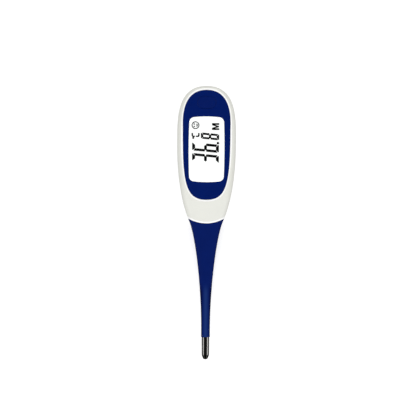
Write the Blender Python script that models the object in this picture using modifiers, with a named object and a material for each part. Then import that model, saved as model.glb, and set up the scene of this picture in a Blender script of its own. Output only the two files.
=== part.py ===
"""Digital thermometer with a large display and a flexible measuring tip, built as an assembly.

The thermometer lies on its back. X is its width, +Y points to the head and +Z out of the display.
The origin is under the middle of the whole length, on the surface that the back rests on. Metres.
"""

import math

import bmesh
import bpy
import numpy as np
from mathutils import Matrix, Vector

MM = 0.001

# Overall shape
LENGTH = 132.0 * MM
HEAD_END = LENGTH / 2
TIP_END = -LENGTH / 2
SHELL_DEPTH = 12.8 * MM
MID = SHELL_DEPTH / 2                 # height of the parting line and of the stem's axis
FACE_TOP = 13.0 * MM
SQUARENESS = 2.8                      # exponent of the head's superellipse section
LEDGE = 0.45 * MM                     # flat white ledge round the blue face
ROUND_FROM = -28.0 * MM               # the stem is round from here down
RING_POINTS = 32

# Half outline of the whole body seen from above, as Bezier curves of (half width, Y)
WIDEST = (14.3 * MM, 38.0 * MM)
WAIST = (8.12 * MM, 0.43 * MM)
WAIST_LEAN = 0.443                    # outward lean of the outline at the waist
STEM_FOOT = (2.1 * MM, -52.0 * MM)
WAIST_REACH_UP = 12.0 * MM             # length of the curve's handles above and below the waist
WAIST_REACH_DOWN = 6.4 * MM
ABOVE_WAIST = (WAIST[0] + WAIST_LEAN * WAIST_REACH_UP, WAIST[1] + WAIST_REACH_UP)
BELOW_WAIST = (WAIST[0] - WAIST_LEAN * WAIST_REACH_DOWN, WAIST[1] - WAIST_REACH_DOWN)
BODY_CURVES = (
    ((0.0, HEAD_END), (14.77 * MM, HEAD_END), (WIDEST[0], 49.9 * MM), WIDEST),
    (WIDEST, (WIDEST[0], 28.6 * MM), ABOVE_WAIST, WAIST),
    (WAIST, BELOW_WAIST, (STEM_FOOT[0], -30.1 * MM), STEM_FOOT),
)

# Half outline of the blue face
FACE_HEAD = 63.7 * MM
FACE_FOOT = 10.93 * MM
FACE_WIDEST = (11.58 * MM, 45.0 * MM)
FACE_CURVES = (
    ((0.0, FACE_HEAD), (13.04 * MM, FACE_HEAD), (FACE_WIDEST[0], 47.8 * MM), FACE_WIDEST),
    (FACE_WIDEST, (FACE_WIDEST[0], 18.8 * MM), (9.96 * MM, FACE_FOOT), (0.0, FACE_FOOT)),
)

# Display window
WINDOW_HALF_WIDTH = 8.6 * MM
WINDOW_HEAD = 50.95 * MM
WINDOW_FOOT = 19.4 * MM
WINDOW_CORNER = 2.0 * MM
WINDOW_BARREL = 0.65 * MM             # how far the middle of each window end bows out
WINDOW_SIDE_BARREL = 0.38 * MM
WINDOW_FLAT = 4.0 * MM                # the end's bow fades out over this length of each side

# Shell walls and the gap between neighbouring pieces
WALL = 1.4 * MM
MOUTH_WALL = 1.9 * MM
MOUTH_Y = 3.0 * MM
FIT = 0.1 * MM
SLIM_FIT = 0.05 * MM
CAVITY_FLOOR = 1.6 * MM
CAVITY_CEILING = 10.2 * MM
CAVITY_HEAD = 64.4 * MM
RECESS_FLOOR = 11.6 * MM
PANEL_BACK = 11.7 * MM
PANEL_FIT = 0.12 * MM
OPENING_FIT = 0.3 * MM                # the shell's opening is this much wider than the window
LENS_DROP = 0.15 * MM
TRIM_HALF_WIDTH = 20.0 * MM           # half width and ends of the tools that trim the whole body
TRIM_Y = (-10.0 * MM, 70.0 * MM)
THROUGH = 1.0 * MM                    # how far a cutter passes the faces it opens
OVERLAP = 0.3 * MM                    # how deep a rib, boss or shank runs into what it stands on
NECK_ARC_RADIUS = 17.1 * MM           # the shells end on this arc, seen from above
NECK_ARC_Y = 16.7 * MM
RIB_TOP = 4.6 * MM                    # top of the ribs and bosses that stand on the back
BOSS_RADIUS = 1.5 * MM

# Circuit board and what stands on it
BOARD_Z = (6.45 * MM, 7.25 * MM)
BOARD_HALF_WIDTH = 10.4 * MM
BOARD_HEAD = 61.0 * MM
BOARD_FOOT = 9.0 * MM
BOARD_SHOULDER = (22.0 * MM, 16.0 * MM, 12.0 * MM)  # the board narrows between these Y
BOARD_NECK_HALF_WIDTH = (8.4 * MM, 4.6 * MM)
BOARD_CORNER = 6.0 * MM
BOARD_SCREWS = ((-8.1 * MM, 55.0 * MM), (8.1 * MM, 55.0 * MM), (0.0, 14.0 * MM))
BOARD_SCREW_Z = (5.5 * MM, 9.3 * MM)
BOARD_SCREW_RADII = (1.3 * MM, 0.5 * MM)            # head and shank
BOARD_PILOT_RADIUS = 0.62 * MM
BOARD_PILOT_SPARE = 0.7 * MM           # the pilot hole runs this far past the screw's tip
BOARD_HOLE_RADIUS = 0.8 * MM
SLOT_HALF_WIDTH = 0.25 * MM
SLOT_DEPTH = 0.25 * MM
CHIP = (3.0 * MM, 25.6 * MM, 31.0 * MM, 5.5 * MM)   # half width, Y from and to, underside
SMALL_PART = (0.8 * MM, 0.45 * MM, 5.75 * MM)       # half width, half length, underside
SMALL_PARTS = (("capacitor_1", -6.5 * MM, 30.0 * MM), ("capacitor_2", 6.5 * MM, 30.0 * MM),
               ("resistor_1", -6.5 * MM, 27.0 * MM), ("resistor_2", 6.5 * MM, 27.0 * MM))

# Display stack
LCD_Y = (18.6 * MM, 52.2 * MM)
LCD_HALF_WIDTH = 9.6 * MM
REAR_GLASS_Z = (8.5 * MM, 9.2 * MM)
FRONT_GLASS_Z = (9.25 * MM, 9.9 * MM)
POLARISER_Z = (9.95 * MM, 10.1 * MM)
FRAME_Z = (7.35 * MM, 9.3 * MM)
FRAME_WALL = 0.6 * MM
FRAME_CORNER = 1.2 * MM
FILM_MARGIN = 0.2 * MM                # the film stops short of the glass on every side
GUIDE_Z = (7.35 * MM, 8.4 * MM)
GUIDE_HALF_WIDTH = 7.6 * MM
GUIDE_MARGINS = (2.0 * MM, 0.5 * MM)  # from the foot and the head of the glass
LED_HALF_WIDTH = 1.6 * MM
LED_MARGINS = (0.3 * MM, 1.7 * MM)    # both from the foot of the glass
LED_TOP = 8.1 * MM
ZEBRA_MARGIN = 0.5 * MM
ZEBRA_X = (7.9 * MM, 9.3 * MM)

# Power button and its switch
BUTTON_Y = 57.7 * MM
BUTTON_HALF_WIDTH = 4.4 * MM
BUTTON_RADIUS = 2.9 * MM
BUTTON_GAP = 0.25 * MM
BUTTON_FLANGE_Z = (9.0 * MM, 9.9 * MM)
BUTTON_FLANGE = 0.75 * MM             # how far the flange stands out all round
BUTTON_REACH = BUTTON_HALF_WIDTH - BUTTON_RADIUS
SWITCH_HALF = 2.2 * MM
SWITCH_Z = (7.35 * MM, 8.45 * MM)
PLUNGER_Z = (8.0 * MM, 8.9 * MM)
PLUNGER_RADIUS = 0.9 * MM
PLUNGER_FIT = 0.15 * MM
PLUNGER_WELL_FLOOR = 7.5 * MM

# Battery, its door and contacts
CELL_Y = 45.0 * MM
CELL_RADIUS = 10.0 * MM
CELL_Z = (1.9 * MM, 5.1 * MM)
CELL_STEP = 0.5 * MM                  # height and inset of the step round the cell's top
CELL_STEP_INSET = 1.1 * MM
CONTACT_THICKNESS = 0.15 * MM
LEAF_HALF_BREADTH = 1.5 * MM
LEAF = ((4.0 * MM, 6.2 * MM), (2.6 * MM, 6.2 * MM), (0.9 * MM, 5.4 * MM),
        (-0.9 * MM, 5.4 * MM), (-2.6 * MM, 6.2 * MM), (-4.0 * MM, 6.2 * MM))
CLIP_HALF_BREADTH = 1.8 * MM
CLIP = ((-10.17 * MM, 2.6 * MM), (-10.17 * MM, 5.9 * MM), (-8.6 * MM, 6.2 * MM), (-7.6 * MM, 6.2 * MM))
NOTCH = (-11.6 * MM, -9.0 * MM, 2.1 * MM, 2.2 * MM)   # X from and to, half length, floor
CELL_WALL_RADIUS = (10.35 * MM, 11.0 * MM)
DOOR_RADIUS = 10.85 * MM
DOOR_REACH = 4.6 * MM                 # from the cell's centre to the centre of each round end
DOOR_Z = (0.2 * MM, 0.85 * MM)
DOOR_RECESS = 0.95 * MM
DOOR_PLUG_RADIUS = 9.5 * MM
DOOR_PLUG_TOP = 1.7 * MM
DOOR_RECESS_FIT = 0.2 * MM
DOOR_SCREW_Y = (32.6 * MM, 57.4 * MM)
DOOR_SCREW_Z = (0.25 * MM, 4.2 * MM)
DOOR_SCREW_SHOULDER = 0.85 * MM
DOOR_SCREW_RADII = (1.4 * MM, 0.6 * MM)
DOOR_SCREW_HOLE = (1.6 * MM, 1.3 * MM)                # radius and top
DOOR_PILOT_RADIUS = 0.8 * MM
OPENING_FLOOR = 0.5 * MM
SEAL_Z = (1.05 * MM, 1.55 * MM)
SEAL_RADIUS = 10.25 * MM

# Sounder
BUZZER_Y = 21.0 * MM
BUZZER_RADIUS = 6.5 * MM
BUZZER_RING_TOP = 2.15 * MM
BUZZER_RING_WALL = 1.0 * MM
BUZZER_DISC_Z = (2.2 * MM, 2.4 * MM)
BUZZER_CERAMIC_Z = (2.45 * MM, 2.65 * MM)
BUZZER_CERAMIC_RADIUS = 4.5 * MM
BUZZER_SPRINGS = (("buzzer_spring_1", 0.0, 2.9 * MM), ("buzzer_spring_2", 5.4 * MM, 2.65 * MM))
SPRING_TOP = 6.2 * MM
SPRING_WIRE = 0.12 * MM
SPRING_RADIUS = 0.7 * MM
SPRING_TURNS = 3

# Flexible stem
STEM_BORE = 1.0 * MM
LEAD_RADIUS = 0.25 * MM
LEAD_X = 0.45 * MM
LEAD_START = ((1.2 * MM, 12.2 * MM, 6.0 * MM), (1.1 * MM, 10.4 * MM, 6.0 * MM),
              (0.55 * MM, 8.0 * MM, 6.25 * MM), (LEAD_X, 6.0 * MM, MID))
HINGE_YS = (-26.7 * MM, -34.0 * MM, -41.3 * MM, -48.5 * MM)
LEAD_YS = (-20.0 * MM, *HINGE_YS, -55.0 * MM, -62.8 * MM)
LINK_GAP = 0.3 * MM
STEM_HEAD = 6.0 * MM
STEM_END = -55.3 * MM
STATION = 3.6 * MM                    # longest step between sections along the stem
CORE_HEAD = 8.0 * MM
CORE_FOOT = -20.0 * MM
CORE_YS = (5.4 * MM, 0.0, -4.0 * MM, -9.0 * MM, -14.0 * MM)
SHELL_NOSE = 6.0 * MM                 # the sections crowd together over this length at the head
SHELL_NOSE_TURNS = (3, 16, 30, 44, 58, 72, 88)
SHELL_HEAD_YS = (57.0 * MM, 52.8 * MM, 48.6 * MM, 44.4 * MM, 40.2 * MM, 36.0 * MM, 31.8 * MM, 27.6 * MM,
                 23.4 * MM, 19.2 * MM, 15.0 * MM)
SHELL_NECK_YS = (9.0 * MM, 6.6 * MM, 4.2 * MM, 1.8 * MM, -0.6 * MM, -3.0 * MM, -5.4 * MM)
CAVITY_YS = (63.0 * MM, 60.0 * MM, 55.0 * MM, 50.0 * MM, 45.0 * MM, 40.0 * MM, 35.0 * MM, 30.0 * MM,
             25.0 * MM, 20.0 * MM, 15.0 * MM, 10.0 * MM, 5.0 * MM)
CAVITY_FOOT = -4.0 * MM
STEP = 0.01 * MM                      # a wall steps over this length

# Steel cap of the sensor
CAP_RADIUS = 1.85 * MM
CAP_NOSE = ((1.66 * MM, 2.2 * MM), (1.57 * MM, 1.75 * MM), (1.42 * MM, 1.25 * MM), (1.2 * MM, 0.8 * MM),
            (0.95 * MM, 0.36 * MM), (0.5 * MM, 0.08 * MM))        # (radius, distance from the tip)
CAP_WALL = 0.25 * MM
CAP_HOLLOW = 1.3 * MM                 # length of the hollow's rounded end
CAP_STEP = 0.05 * MM
SHANK_RADIUS = 1.45 * MM
SHANK_HEAD = -51.5 * MM
POTTING_Y = (-62.0 * MM, -54.0 * MM)
POTTING_BORE = 0.85 * MM
BEAD_RADIUS = 0.6 * MM
BEAD_Y = -63.6 * MM

NAVY = (0.0010, 0.0105, 0.1150)
COLOURS = {                            # base colour, roughness, metallic
    "white_shell": ((0.82, 0.82, 0.80), 0.30, 0.0),
    "blue_face": (NAVY, 0.25, 0.0),
    "blue_button": (NAVY, 0.30, 0.0),
    "blue_elastomer": (NAVY, 0.45, 0.0),
    "clear_lens": ((0.95, 0.97, 0.97), 0.05, 0.0),
    "display_glass": ((0.90, 0.93, 0.92), 0.05, 0.0),
    "polariser_film": ((0.93, 0.95, 0.94), 0.20, 0.0),
    "light_guide_acrylic": ((0.95, 0.95, 0.95), 0.15, 0.0),
    "led_body": ((0.90, 0.88, 0.70), 0.40, 0.0),
    "frame_plastic": ((0.75, 0.75, 0.73), 0.50, 0.0),
    "zebra_rubber": ((0.08, 0.08, 0.08), 0.80, 0.0),
    "board_laminate": ((0.02, 0.16, 0.06), 0.45, 0.0),
    "chip_package": ((0.02, 0.02, 0.02), 0.50, 0.0),
    "ceramic_part": ((0.55, 0.42, 0.28), 0.60, 0.0),
    "switch_plastic": ((0.03, 0.03, 0.03), 0.45, 0.0),
    "cell_steel": ((0.70, 0.70, 0.68), 0.28, 1.0),
    "spring_steel": ((0.60, 0.60, 0.58), 0.30, 1.0),
    "screw_steel": ((0.55, 0.55, 0.55), 0.35, 1.0),
    "probe_steel": ((0.62, 0.61, 0.59), 0.18, 1.0),
    "brass_disc": ((0.72, 0.52, 0.20), 0.35, 1.0),
    "piezo_ceramic": ((0.85, 0.84, 0.80), 0.55, 0.0),
    "seal_rubber": ((0.35, 0.35, 0.36), 0.85, 0.0),
    "core_plastic": ((0.60, 0.60, 0.58), 0.50, 0.0),
    "lead_red": ((0.45, 0.03, 0.02), 0.55, 0.0),
    "lead_white": ((0.75, 0.75, 0.72), 0.55, 0.0),
    "resin": ((0.10, 0.08, 0.06), 0.35, 0.0),
}


def clear_scene():
    for old in list(bpy.data.objects):
        bpy.data.objects.remove(old, do_unlink=True)


def new_collection(name):
    collection = bpy.data.collections.new(name)
    bpy.context.scene.collection.children.link(collection)
    return collection


def material(name):
    if name in bpy.data.materials:
        return bpy.data.materials[name]
    colour, roughness, metallic = COLOURS[name]
    made = bpy.data.materials.new(name)
    made.use_nodes = True
    shader = made.node_tree.nodes["Principled BSDF"]
    shader.inputs["Base Color"].default_value = (*colour, 1.0)
    shader.inputs["Roughness"].default_value = roughness
    shader.inputs["Metallic"].default_value = metallic
    return made


# ---- outlines -------------------------------------------------------------------------------

def bezier(p0, p1, p2, p3, count):
    t = np.linspace(0.0, 1.0, count)[:, None]
    p0, p1, p2, p3 = (np.array(p) for p in (p0, p1, p2, p3))
    return (1 - t) ** 3 * p0 + 3 * (1 - t) ** 2 * t * p1 + 3 * (1 - t) * t ** 2 * p2 + t ** 3 * p3


def half_outline(curves, count):
    runs = [bezier(*curve, count) for curve in curves]
    return np.vstack([runs[0]] + [run[1:] for run in runs[1:]])


BODY_SAMPLES = half_outline(BODY_CURVES, 200)[::-1]
FACE_SAMPLES = half_outline(FACE_CURVES, 200)[::-1]


def half_width(y):
    return float(np.interp(y, BODY_SAMPLES[:, 1], BODY_SAMPLES[:, 0]))


def face_half_width(y):
    return float(np.interp(y, FACE_SAMPLES[:, 1], FACE_SAMPLES[:, 0]))


def smooth(y, start, end):
    t = min(max((y - start) / (end - start), 0.0), 1.0)
    return t * t * (3 - 2 * t)


def half_depth(y):
    """Half the body's depth, before the front and back are cut flat."""
    nose = FACE_HEAD + LEDGE
    foot = FACE_FOOT - LEDGE
    if y > nose:
        return MID * math.sqrt(max(1 - ((y - nose) / (HEAD_END - nose)) ** 2, 0.0))
    if y > foot:
        reach = (face_half_width(y) + LEDGE) / half_width(y)
        return MID / (1 - reach ** SQUARENESS) ** (1 / SQUARENESS)
    ratio = MID / half_width(foot)
    return half_width(y) * (ratio + (1 - ratio) * smooth(y, foot, ROUND_FROM))


def ring(y, inset):
    """One cross section of the body: a superellipse that turns into a circle down the stem."""
    power = 2 / (SQUARENESS - (SQUARENESS - 2) * smooth(y, FACE_FOOT, ROUND_FROM))
    width = half_width(y) - inset
    depth = half_depth(y) - inset
    points = []
    for k in range(RING_POINTS):
        angle = 2 * math.pi * (k + 0.5) / RING_POINTS
        c, s = math.cos(angle), math.sin(angle)
        x = width * math.copysign(abs(c) ** power, c)
        z = depth * math.copysign(abs(s) ** power, s)
        points.append(Vector((x, y, MID + z)))
    return points


def mirrored(right_half):
    """A closed outline from its right half, listed from top to bottom."""
    left = [(-x, y) for x, y in right_half[::-1] if x > 0.001 * MM]
    return [tuple(p) for p in right_half] + left


def arc(centre_x, centre_y, radius, start, end, steps):
    points = []
    for k in range(steps + 1):
        angle = math.radians(start + (end - start) * k / steps)
        points.append((centre_x + radius * math.cos(angle), centre_y + radius * math.sin(angle)))
    return points


def rectangle(half, foot, head, corner, steps=4):
    """A rounded rectangle that is symmetric about the Y axis."""
    x = half - corner
    right = arc(x, head - corner, corner, 90, 0, steps) + arc(x, foot + corner, corner, 0, -90, steps)
    return right + [(-x, y) for x, y in right[::-1]]


def window_outline(grow, steps=4):
    """The display window: a rounded rectangle with slightly bowed sides."""
    middle = (WINDOW_HEAD + WINDOW_FOOT) / 2
    tall = (WINDOW_HEAD - WINDOW_FOOT) / 2
    half = WINDOW_HALF_WIDTH - WINDOW_SIDE_BARREL
    corners = rectangle(half, -(tall - WINDOW_BARREL), tall - WINDOW_BARREL, WINDOW_CORNER, steps)
    points = []
    for start, end in zip(corners, corners[1:] + corners[:1]):
        long_side = math.dist(start, end) > 2 * WINDOW_CORNER
        for t in ((0.0, 0.25, 0.5, 0.75) if long_side else (0.0,)):
            points.append((start[0] + (end[0] - start[0]) * t, start[1] + (end[1] - start[1]) * t))
    bowed = []
    for x, y in points:
        end_share = math.copysign(min(abs(y) / (tall - WINDOW_FLAT), 1), y)
        side_share = math.copysign(min(abs(x) / half, 1), x)
        bow_y = WINDOW_BARREL * max(1 - (x / half) ** 2, 0.0) * end_share
        bow_x = WINDOW_SIDE_BARREL * max(1 - (y / tall) ** 2, 0.0) * side_share
        x_scale = (WINDOW_HALF_WIDTH + grow) / WINDOW_HALF_WIDTH
        y_scale = (tall + grow) / tall
        bowed.append(((x + bow_x) * x_scale, middle + (y + bow_y) * y_scale))
    return bowed


def pill(centre_y, reach, radius, along_y, steps=8):
    """Two half circles joined by straight sides."""
    if along_y:
        head = arc(0, centre_y + reach, radius, 180, 0, steps)
        return head + arc(0, centre_y - reach, radius, 0, -180, steps)
    right = arc(reach, centre_y, radius, 90, -90, steps)
    return right + arc(-reach, centre_y, radius, -90, -270, steps)


def grown(outline, distance):
    """The outline of a symmetric clockwise shape, moved outwards by a distance."""
    points = [Vector(p) for p in outline]
    moved = []
    for before, here, after in zip(points[-1:] + points[:-1], points, points[1:] + points[:1]):
        along = (after - before).normalized()
        moved.append((here.x - along.y * distance, here.y + along.x * distance))
    return moved


# ---- solids ---------------------------------------------------------------------------------

def finish(mesh_object, finish_name, smooth_angle=35):
    mesh = mesh_object.data
    mesh.materials.clear()
    mesh.materials.append(material(finish_name))
    mesh.shade_smooth()
    mesh.set_sharp_from_angle(angle=math.radians(smooth_angle))
    return mesh_object


def link(name, mesh, finish_name):
    made = bpy.data.objects.new(name, mesh)
    PARTS.objects.link(made)
    if finish_name:
        finish(made, finish_name)
    else:
        PARTS.objects.unlink(made)
        CUTTERS.objects.link(made)
        made.hide_render = True
        made.display_type = "WIRE"
    return made


def from_bmesh(name, bm, finish_name):
    bmesh.ops.recalc_face_normals(bm, faces=bm.faces)
    mesh = bpy.data.meshes.new(name)
    bm.to_mesh(mesh)
    bm.free()
    return link(name, mesh, finish_name)


def body_loft(name, ys, insets, finish_name=None):
    """A loft of the body's own sections at each Y, each drawn in by its inset."""
    bm = bmesh.new()
    rings = [[bm.verts.new(p) for p in ring(y, inset)] for y, inset in zip(ys, insets)]
    for low, high in zip(rings, rings[1:]):
        for k in range(RING_POINTS):
            after = (k + 1) % RING_POINTS
            bm.faces.new((low[k], low[after], high[after], high[k]))
    bm.faces.new(rings[0])
    bm.faces.new(rings[-1])
    return from_bmesh(name, bm, finish_name)


def box(name, xs, ys, zs, finish_name=None):
    bm = bmesh.new()
    bmesh.ops.create_cube(bm, size=1.0)
    size = Vector((xs[1] - xs[0], ys[1] - ys[0], zs[1] - zs[0]))
    centre = Vector((sum(xs), sum(ys), sum(zs))) / 2
    bmesh.ops.transform(bm, matrix=Matrix.LocRotScale(centre, None, size), verts=bm.verts)
    return from_bmesh(name, bm, finish_name)


def cylinder(radius, depth, segments):
    bm = bmesh.new()
    size = {"radius1": radius, "radius2": radius, "depth": depth}
    bmesh.ops.create_cone(bm, cap_ends=True, segments=segments, **size)
    return bm


def rod(name, x, y, zs, radius, finish_name=None, segments=24):
    bm = cylinder(radius, zs[1] - zs[0], segments)
    bmesh.ops.translate(bm, vec=(x, y, sum(zs) / 2), verts=bm.verts)
    return from_bmesh(name, bm, finish_name)


def stem_rod(name, ys, radius, finish_name=None, segments=20):
    """A round rod along the stem's axis."""
    bm = cylinder(radius, ys[1] - ys[0], segments)
    bmesh.ops.rotate(bm, cent=(0, 0, 0), matrix=Matrix.Rotation(math.radians(-90), 3, "X"), verts=bm.verts)
    bmesh.ops.translate(bm, vec=(0, sum(ys) / 2, MID), verts=bm.verts)
    return from_bmesh(name, bm, finish_name)


def mesh_from_curve(curve_object, finish_name):
    """The evaluated curve as a mesh object with its caps welded on."""
    bpy.context.view_layer.update()
    evaluated = curve_object.evaluated_get(bpy.context.evaluated_depsgraph_get())
    mesh = bpy.data.meshes.new_from_object(evaluated)
    bm = bmesh.new()
    bm.from_mesh(mesh)
    bmesh.ops.remove_doubles(bm, verts=bm.verts, dist=0.001 * MM)
    bmesh.ops.recalc_face_normals(bm, faces=bm.faces)
    bm.to_mesh(mesh)
    bm.free()
    name = curve_object.name
    placed = curve_object.matrix_world.copy()
    bpy.data.objects.remove(curve_object, do_unlink=True)
    made = link(name, mesh, finish_name)
    made.matrix_world = placed
    return made


def plate(name, outline, zs, finish_name=None):
    """A flat outline, filled and extruded from one height to another."""
    curve = bpy.data.curves.new(name, "CURVE")
    curve.dimensions = "2D"
    curve.fill_mode = "BOTH"
    curve.extrude = (zs[1] - zs[0]) / 2
    spline = curve.splines.new("POLY")
    spline.points.add(len(outline) - 1)
    for point, (x, y) in zip(spline.points, outline):
        point.co = (x, y, 0.0, 1.0)
    spline.use_cyclic_u = True
    flat = bpy.data.objects.new(name, curve)
    flat.location.z = sum(zs) / 2
    CUTTERS.objects.link(flat)
    return mesh_from_curve(flat, finish_name)


def wire(name, points, radius, finish_name):
    curve = bpy.data.curves.new(name, "CURVE")
    curve.dimensions = "3D"
    curve.bevel_depth = radius
    curve.bevel_resolution = 2
    curve.use_fill_caps = True
    spline = curve.splines.new("POLY")
    spline.points.add(len(points) - 1)
    for point, place in zip(spline.points, points):
        point.co = (*place, 1.0)
    run = bpy.data.objects.new(name, curve)
    CUTTERS.objects.link(run)
    return mesh_from_curve(run, finish_name)


def turned(name, profile, finish_name, steps=22):
    """A body turned about the stem's axis from a closed (radius, Y) profile."""
    mesh = bpy.data.meshes.new(name)
    points = [(radius, 0.0, y) for radius, y in profile]
    edges = [(k, (k + 1) % len(points)) for k in range(len(points))]
    mesh.from_pydata(points, edges, [])
    made = link(name, mesh, finish_name)
    screw = made.modifiers.new("turn", "SCREW")
    screw.axis = "Z"
    screw.steps = steps
    screw.render_steps = steps
    screw.use_merge_vertices = True
    screw.merge_threshold = 0.001 * MM
    made.location = (0.0, 0.0, MID)
    made.rotation_euler = (math.radians(-90), 0.0, 0.0)
    return made


def boolean(target, tool, operation):
    change = target.modifiers.new(tool.name, "BOOLEAN")
    change.operation = operation
    change.solver = "EXACT"
    change.object = tool
    return target


def cut(target, *tools):
    for tool in tools:
        boolean(target, tool, "DIFFERENCE")
    return target


def join(target, *tools):
    for tool in tools:
        boolean(target, tool, "UNION")
    return target


def keep(target, tool):
    return boolean(target, tool, "INTERSECT")


def set_origin(mesh_object, point):
    """Moves the object's origin to a point on its joint, and leaves its shape where it is."""
    mesh_object.data.transform(Matrix.Translation(mesh_object.location - Vector(point)))
    mesh_object.location = point
    return mesh_object


# ---- shells and face ------------------------------------------------------------------------

def shell_stations():
    nose = [HEAD_END - SHELL_NOSE * (1 - math.cos(math.radians(a))) for a in SHELL_NOSE_TURNS]
    return [*nose, *SHELL_HEAD_YS, *SHELL_NECK_YS]


def neck_cutline(gap):
    """The plan of everything above the arc where the shells end."""
    lower = arc(0, NECK_ARC_Y, NECK_ARC_RADIUS + gap, -20, -160, 28)
    side_y = lower[0][1]
    wide, far = TRIM_HALF_WIDTH, TRIM_Y[1]
    return [(-wide, far), (wide, far), (wide, side_y)] + lower + [(-wide, side_y)]


def cavity_cutter(name, zs):
    ys = [CAVITY_HEAD, *CAVITY_YS, MOUTH_Y + STEP, MOUTH_Y, 0.0, CAVITY_FOOT]
    insets = [WALL if y > MOUTH_Y else MOUTH_WALL for y in ys]
    cavity = body_loft(name, ys, insets)
    keep(cavity, box(name + "_limit", (-TRIM_HALF_WIDTH, TRIM_HALF_WIDTH), TRIM_Y, zs))
    return cavity


def button_hole(name, zs):
    return plate(name, pill(BUTTON_Y, BUTTON_REACH, BUTTON_RADIUS + BUTTON_GAP, False), zs)


def build_front_shell():
    ys = shell_stations()
    shell = body_loft("front_shell", ys, [0.0] * len(ys), "white_shell")
    keep(shell, plate("front_region", neck_cutline(0.0), (MID + SLIM_FIT / 2, SHELL_DEPTH)))
    cut(shell, cavity_cutter("front_cavity", (MID - THROUGH, CAVITY_CEILING)))
    boss_foot = BOARD_Z[1] + FIT
    for k, (x, y) in enumerate(BOARD_SCREWS):
        join(shell, rod("board_boss_%d" % k, x, y, (boss_foot, CAVITY_CEILING + OVERLAP), BOSS_RADIUS))
        pilot = (boss_foot - THROUGH, BOARD_SCREW_Z[1] + BOARD_PILOT_SPARE)
        cut(shell, rod("board_pilot_%d" % k, x, y, pilot, BOARD_PILOT_RADIUS, segments=16))
    above = FACE_TOP + THROUGH
    cut(shell, plate("face_recess", grown(face_outline(), PANEL_FIT), (RECESS_FLOOR, above)))
    cut(shell, plate("window_opening", window_outline(OPENING_FIT), (CAVITY_CEILING - THROUGH, above)))
    cut(shell, button_hole("button_hole", (CAVITY_CEILING - THROUGH, above)))


def build_back_shell():
    ys = shell_stations()
    shell = body_loft("back_shell", ys, [0.0] * len(ys), "white_shell")
    keep(shell, plate("back_region", neck_cutline(0.0), (0.0, MID - SLIM_FIT / 2)))
    cut(shell, cavity_cutter("back_cavity", (CAVITY_FLOOR, MID + THROUGH)))
    rib_z = (CAVITY_FLOOR - OVERLAP, RIB_TOP)
    through_z = (OPENING_FLOOR, MID + THROUGH)
    join(shell, rod("cell_wall", 0, CELL_Y, rib_z, CELL_WALL_RADIUS[1], segments=40))
    for k, y in enumerate(DOOR_SCREW_Y):
        join(shell, rod("door_boss_%d" % k, 0, y, rib_z, BOSS_RADIUS))
    recess = pill(CELL_Y, DOOR_REACH, DOOR_RADIUS + DOOR_RECESS_FIT, True, 16)
    cut(shell, plate("door_recess", recess, (-THROUGH, DOOR_RECESS)))
    cut(shell, rod("cell_opening", 0, CELL_Y, through_z, CELL_WALL_RADIUS[0], segments=40))
    for k, y in enumerate(DOOR_SCREW_Y):
        cut(shell, rod("door_pilot_%d" % k, 0, y, through_z, DOOR_PILOT_RADIUS, segments=16))
    notch_from, notch_to, notch_half, notch_floor = NOTCH
    notch_ys = (CELL_Y - notch_half, CELL_Y + notch_half)
    cut(shell, box("contact_notch", (notch_from, notch_to), notch_ys, (notch_floor, MID + THROUGH)))


def face_outline():
    return mirrored(half_outline(FACE_CURVES, 15))


def build_face():
    panel = plate("face_panel", face_outline(), (PANEL_BACK, FACE_TOP), "blue_face")
    through = (PANEL_BACK - THROUGH, FACE_TOP + THROUGH)
    cut(panel, plate("panel_window", window_outline(0.0), through))
    cut(panel, button_hole("panel_button_hole", through))
    plate("window_lens", window_outline(-FIT), (PANEL_BACK, FACE_TOP - LENS_DROP), "clear_lens")


# ---- display, board and switch --------------------------------------------------------------

def build_display():
    foot, head = LCD_Y
    inner = LCD_HALF_WIDTH + FIT
    margin = FIT + FRAME_WALL
    outline = rectangle(inner + FRAME_WALL, foot - margin, head + margin, FRAME_CORNER)
    frame = plate("lcd_frame", outline, FRAME_Z, "frame_plastic")
    opening_z = (FRAME_Z[0] - THROUGH, FRAME_Z[1] + THROUGH)
    cut(frame, box("frame_opening", (-inner, inner), (foot - FIT, head + FIT), opening_z))
    glass = (-LCD_HALF_WIDTH, LCD_HALF_WIDTH)
    film = (glass[0] + FILM_MARGIN, glass[1] - FILM_MARGIN)
    box("lcd_rear_glass", glass, LCD_Y, REAR_GLASS_Z, "display_glass")
    box("lcd_front_glass", glass, LCD_Y, FRONT_GLASS_Z, "display_glass")
    box("lcd_polariser", film, (foot + FILM_MARGIN, head - FILM_MARGIN), POLARISER_Z, "polariser_film")
    guide_y = (foot + GUIDE_MARGINS[0], head - GUIDE_MARGINS[1])
    box("light_guide", (-GUIDE_HALF_WIDTH, GUIDE_HALF_WIDTH), guide_y, GUIDE_Z, "light_guide_acrylic")
    led_y = (foot + LED_MARGINS[0], foot + LED_MARGINS[1])
    box("backlight_led", (-LED_HALF_WIDTH, LED_HALF_WIDTH), led_y, (GUIDE_Z[0], LED_TOP), "led_body")
    zebra_y = (foot + ZEBRA_MARGIN, head - ZEBRA_MARGIN)
    zebra_z = (FRAME_Z[0], REAR_GLASS_Z[0] - SLIM_FIT)
    for name, side in (("zebra_strip_left", -1), ("zebra_strip_right", 1)):
        box(name, sorted((side * ZEBRA_X[0], side * ZEBRA_X[1])), zebra_y, zebra_z, "zebra_rubber")


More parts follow.
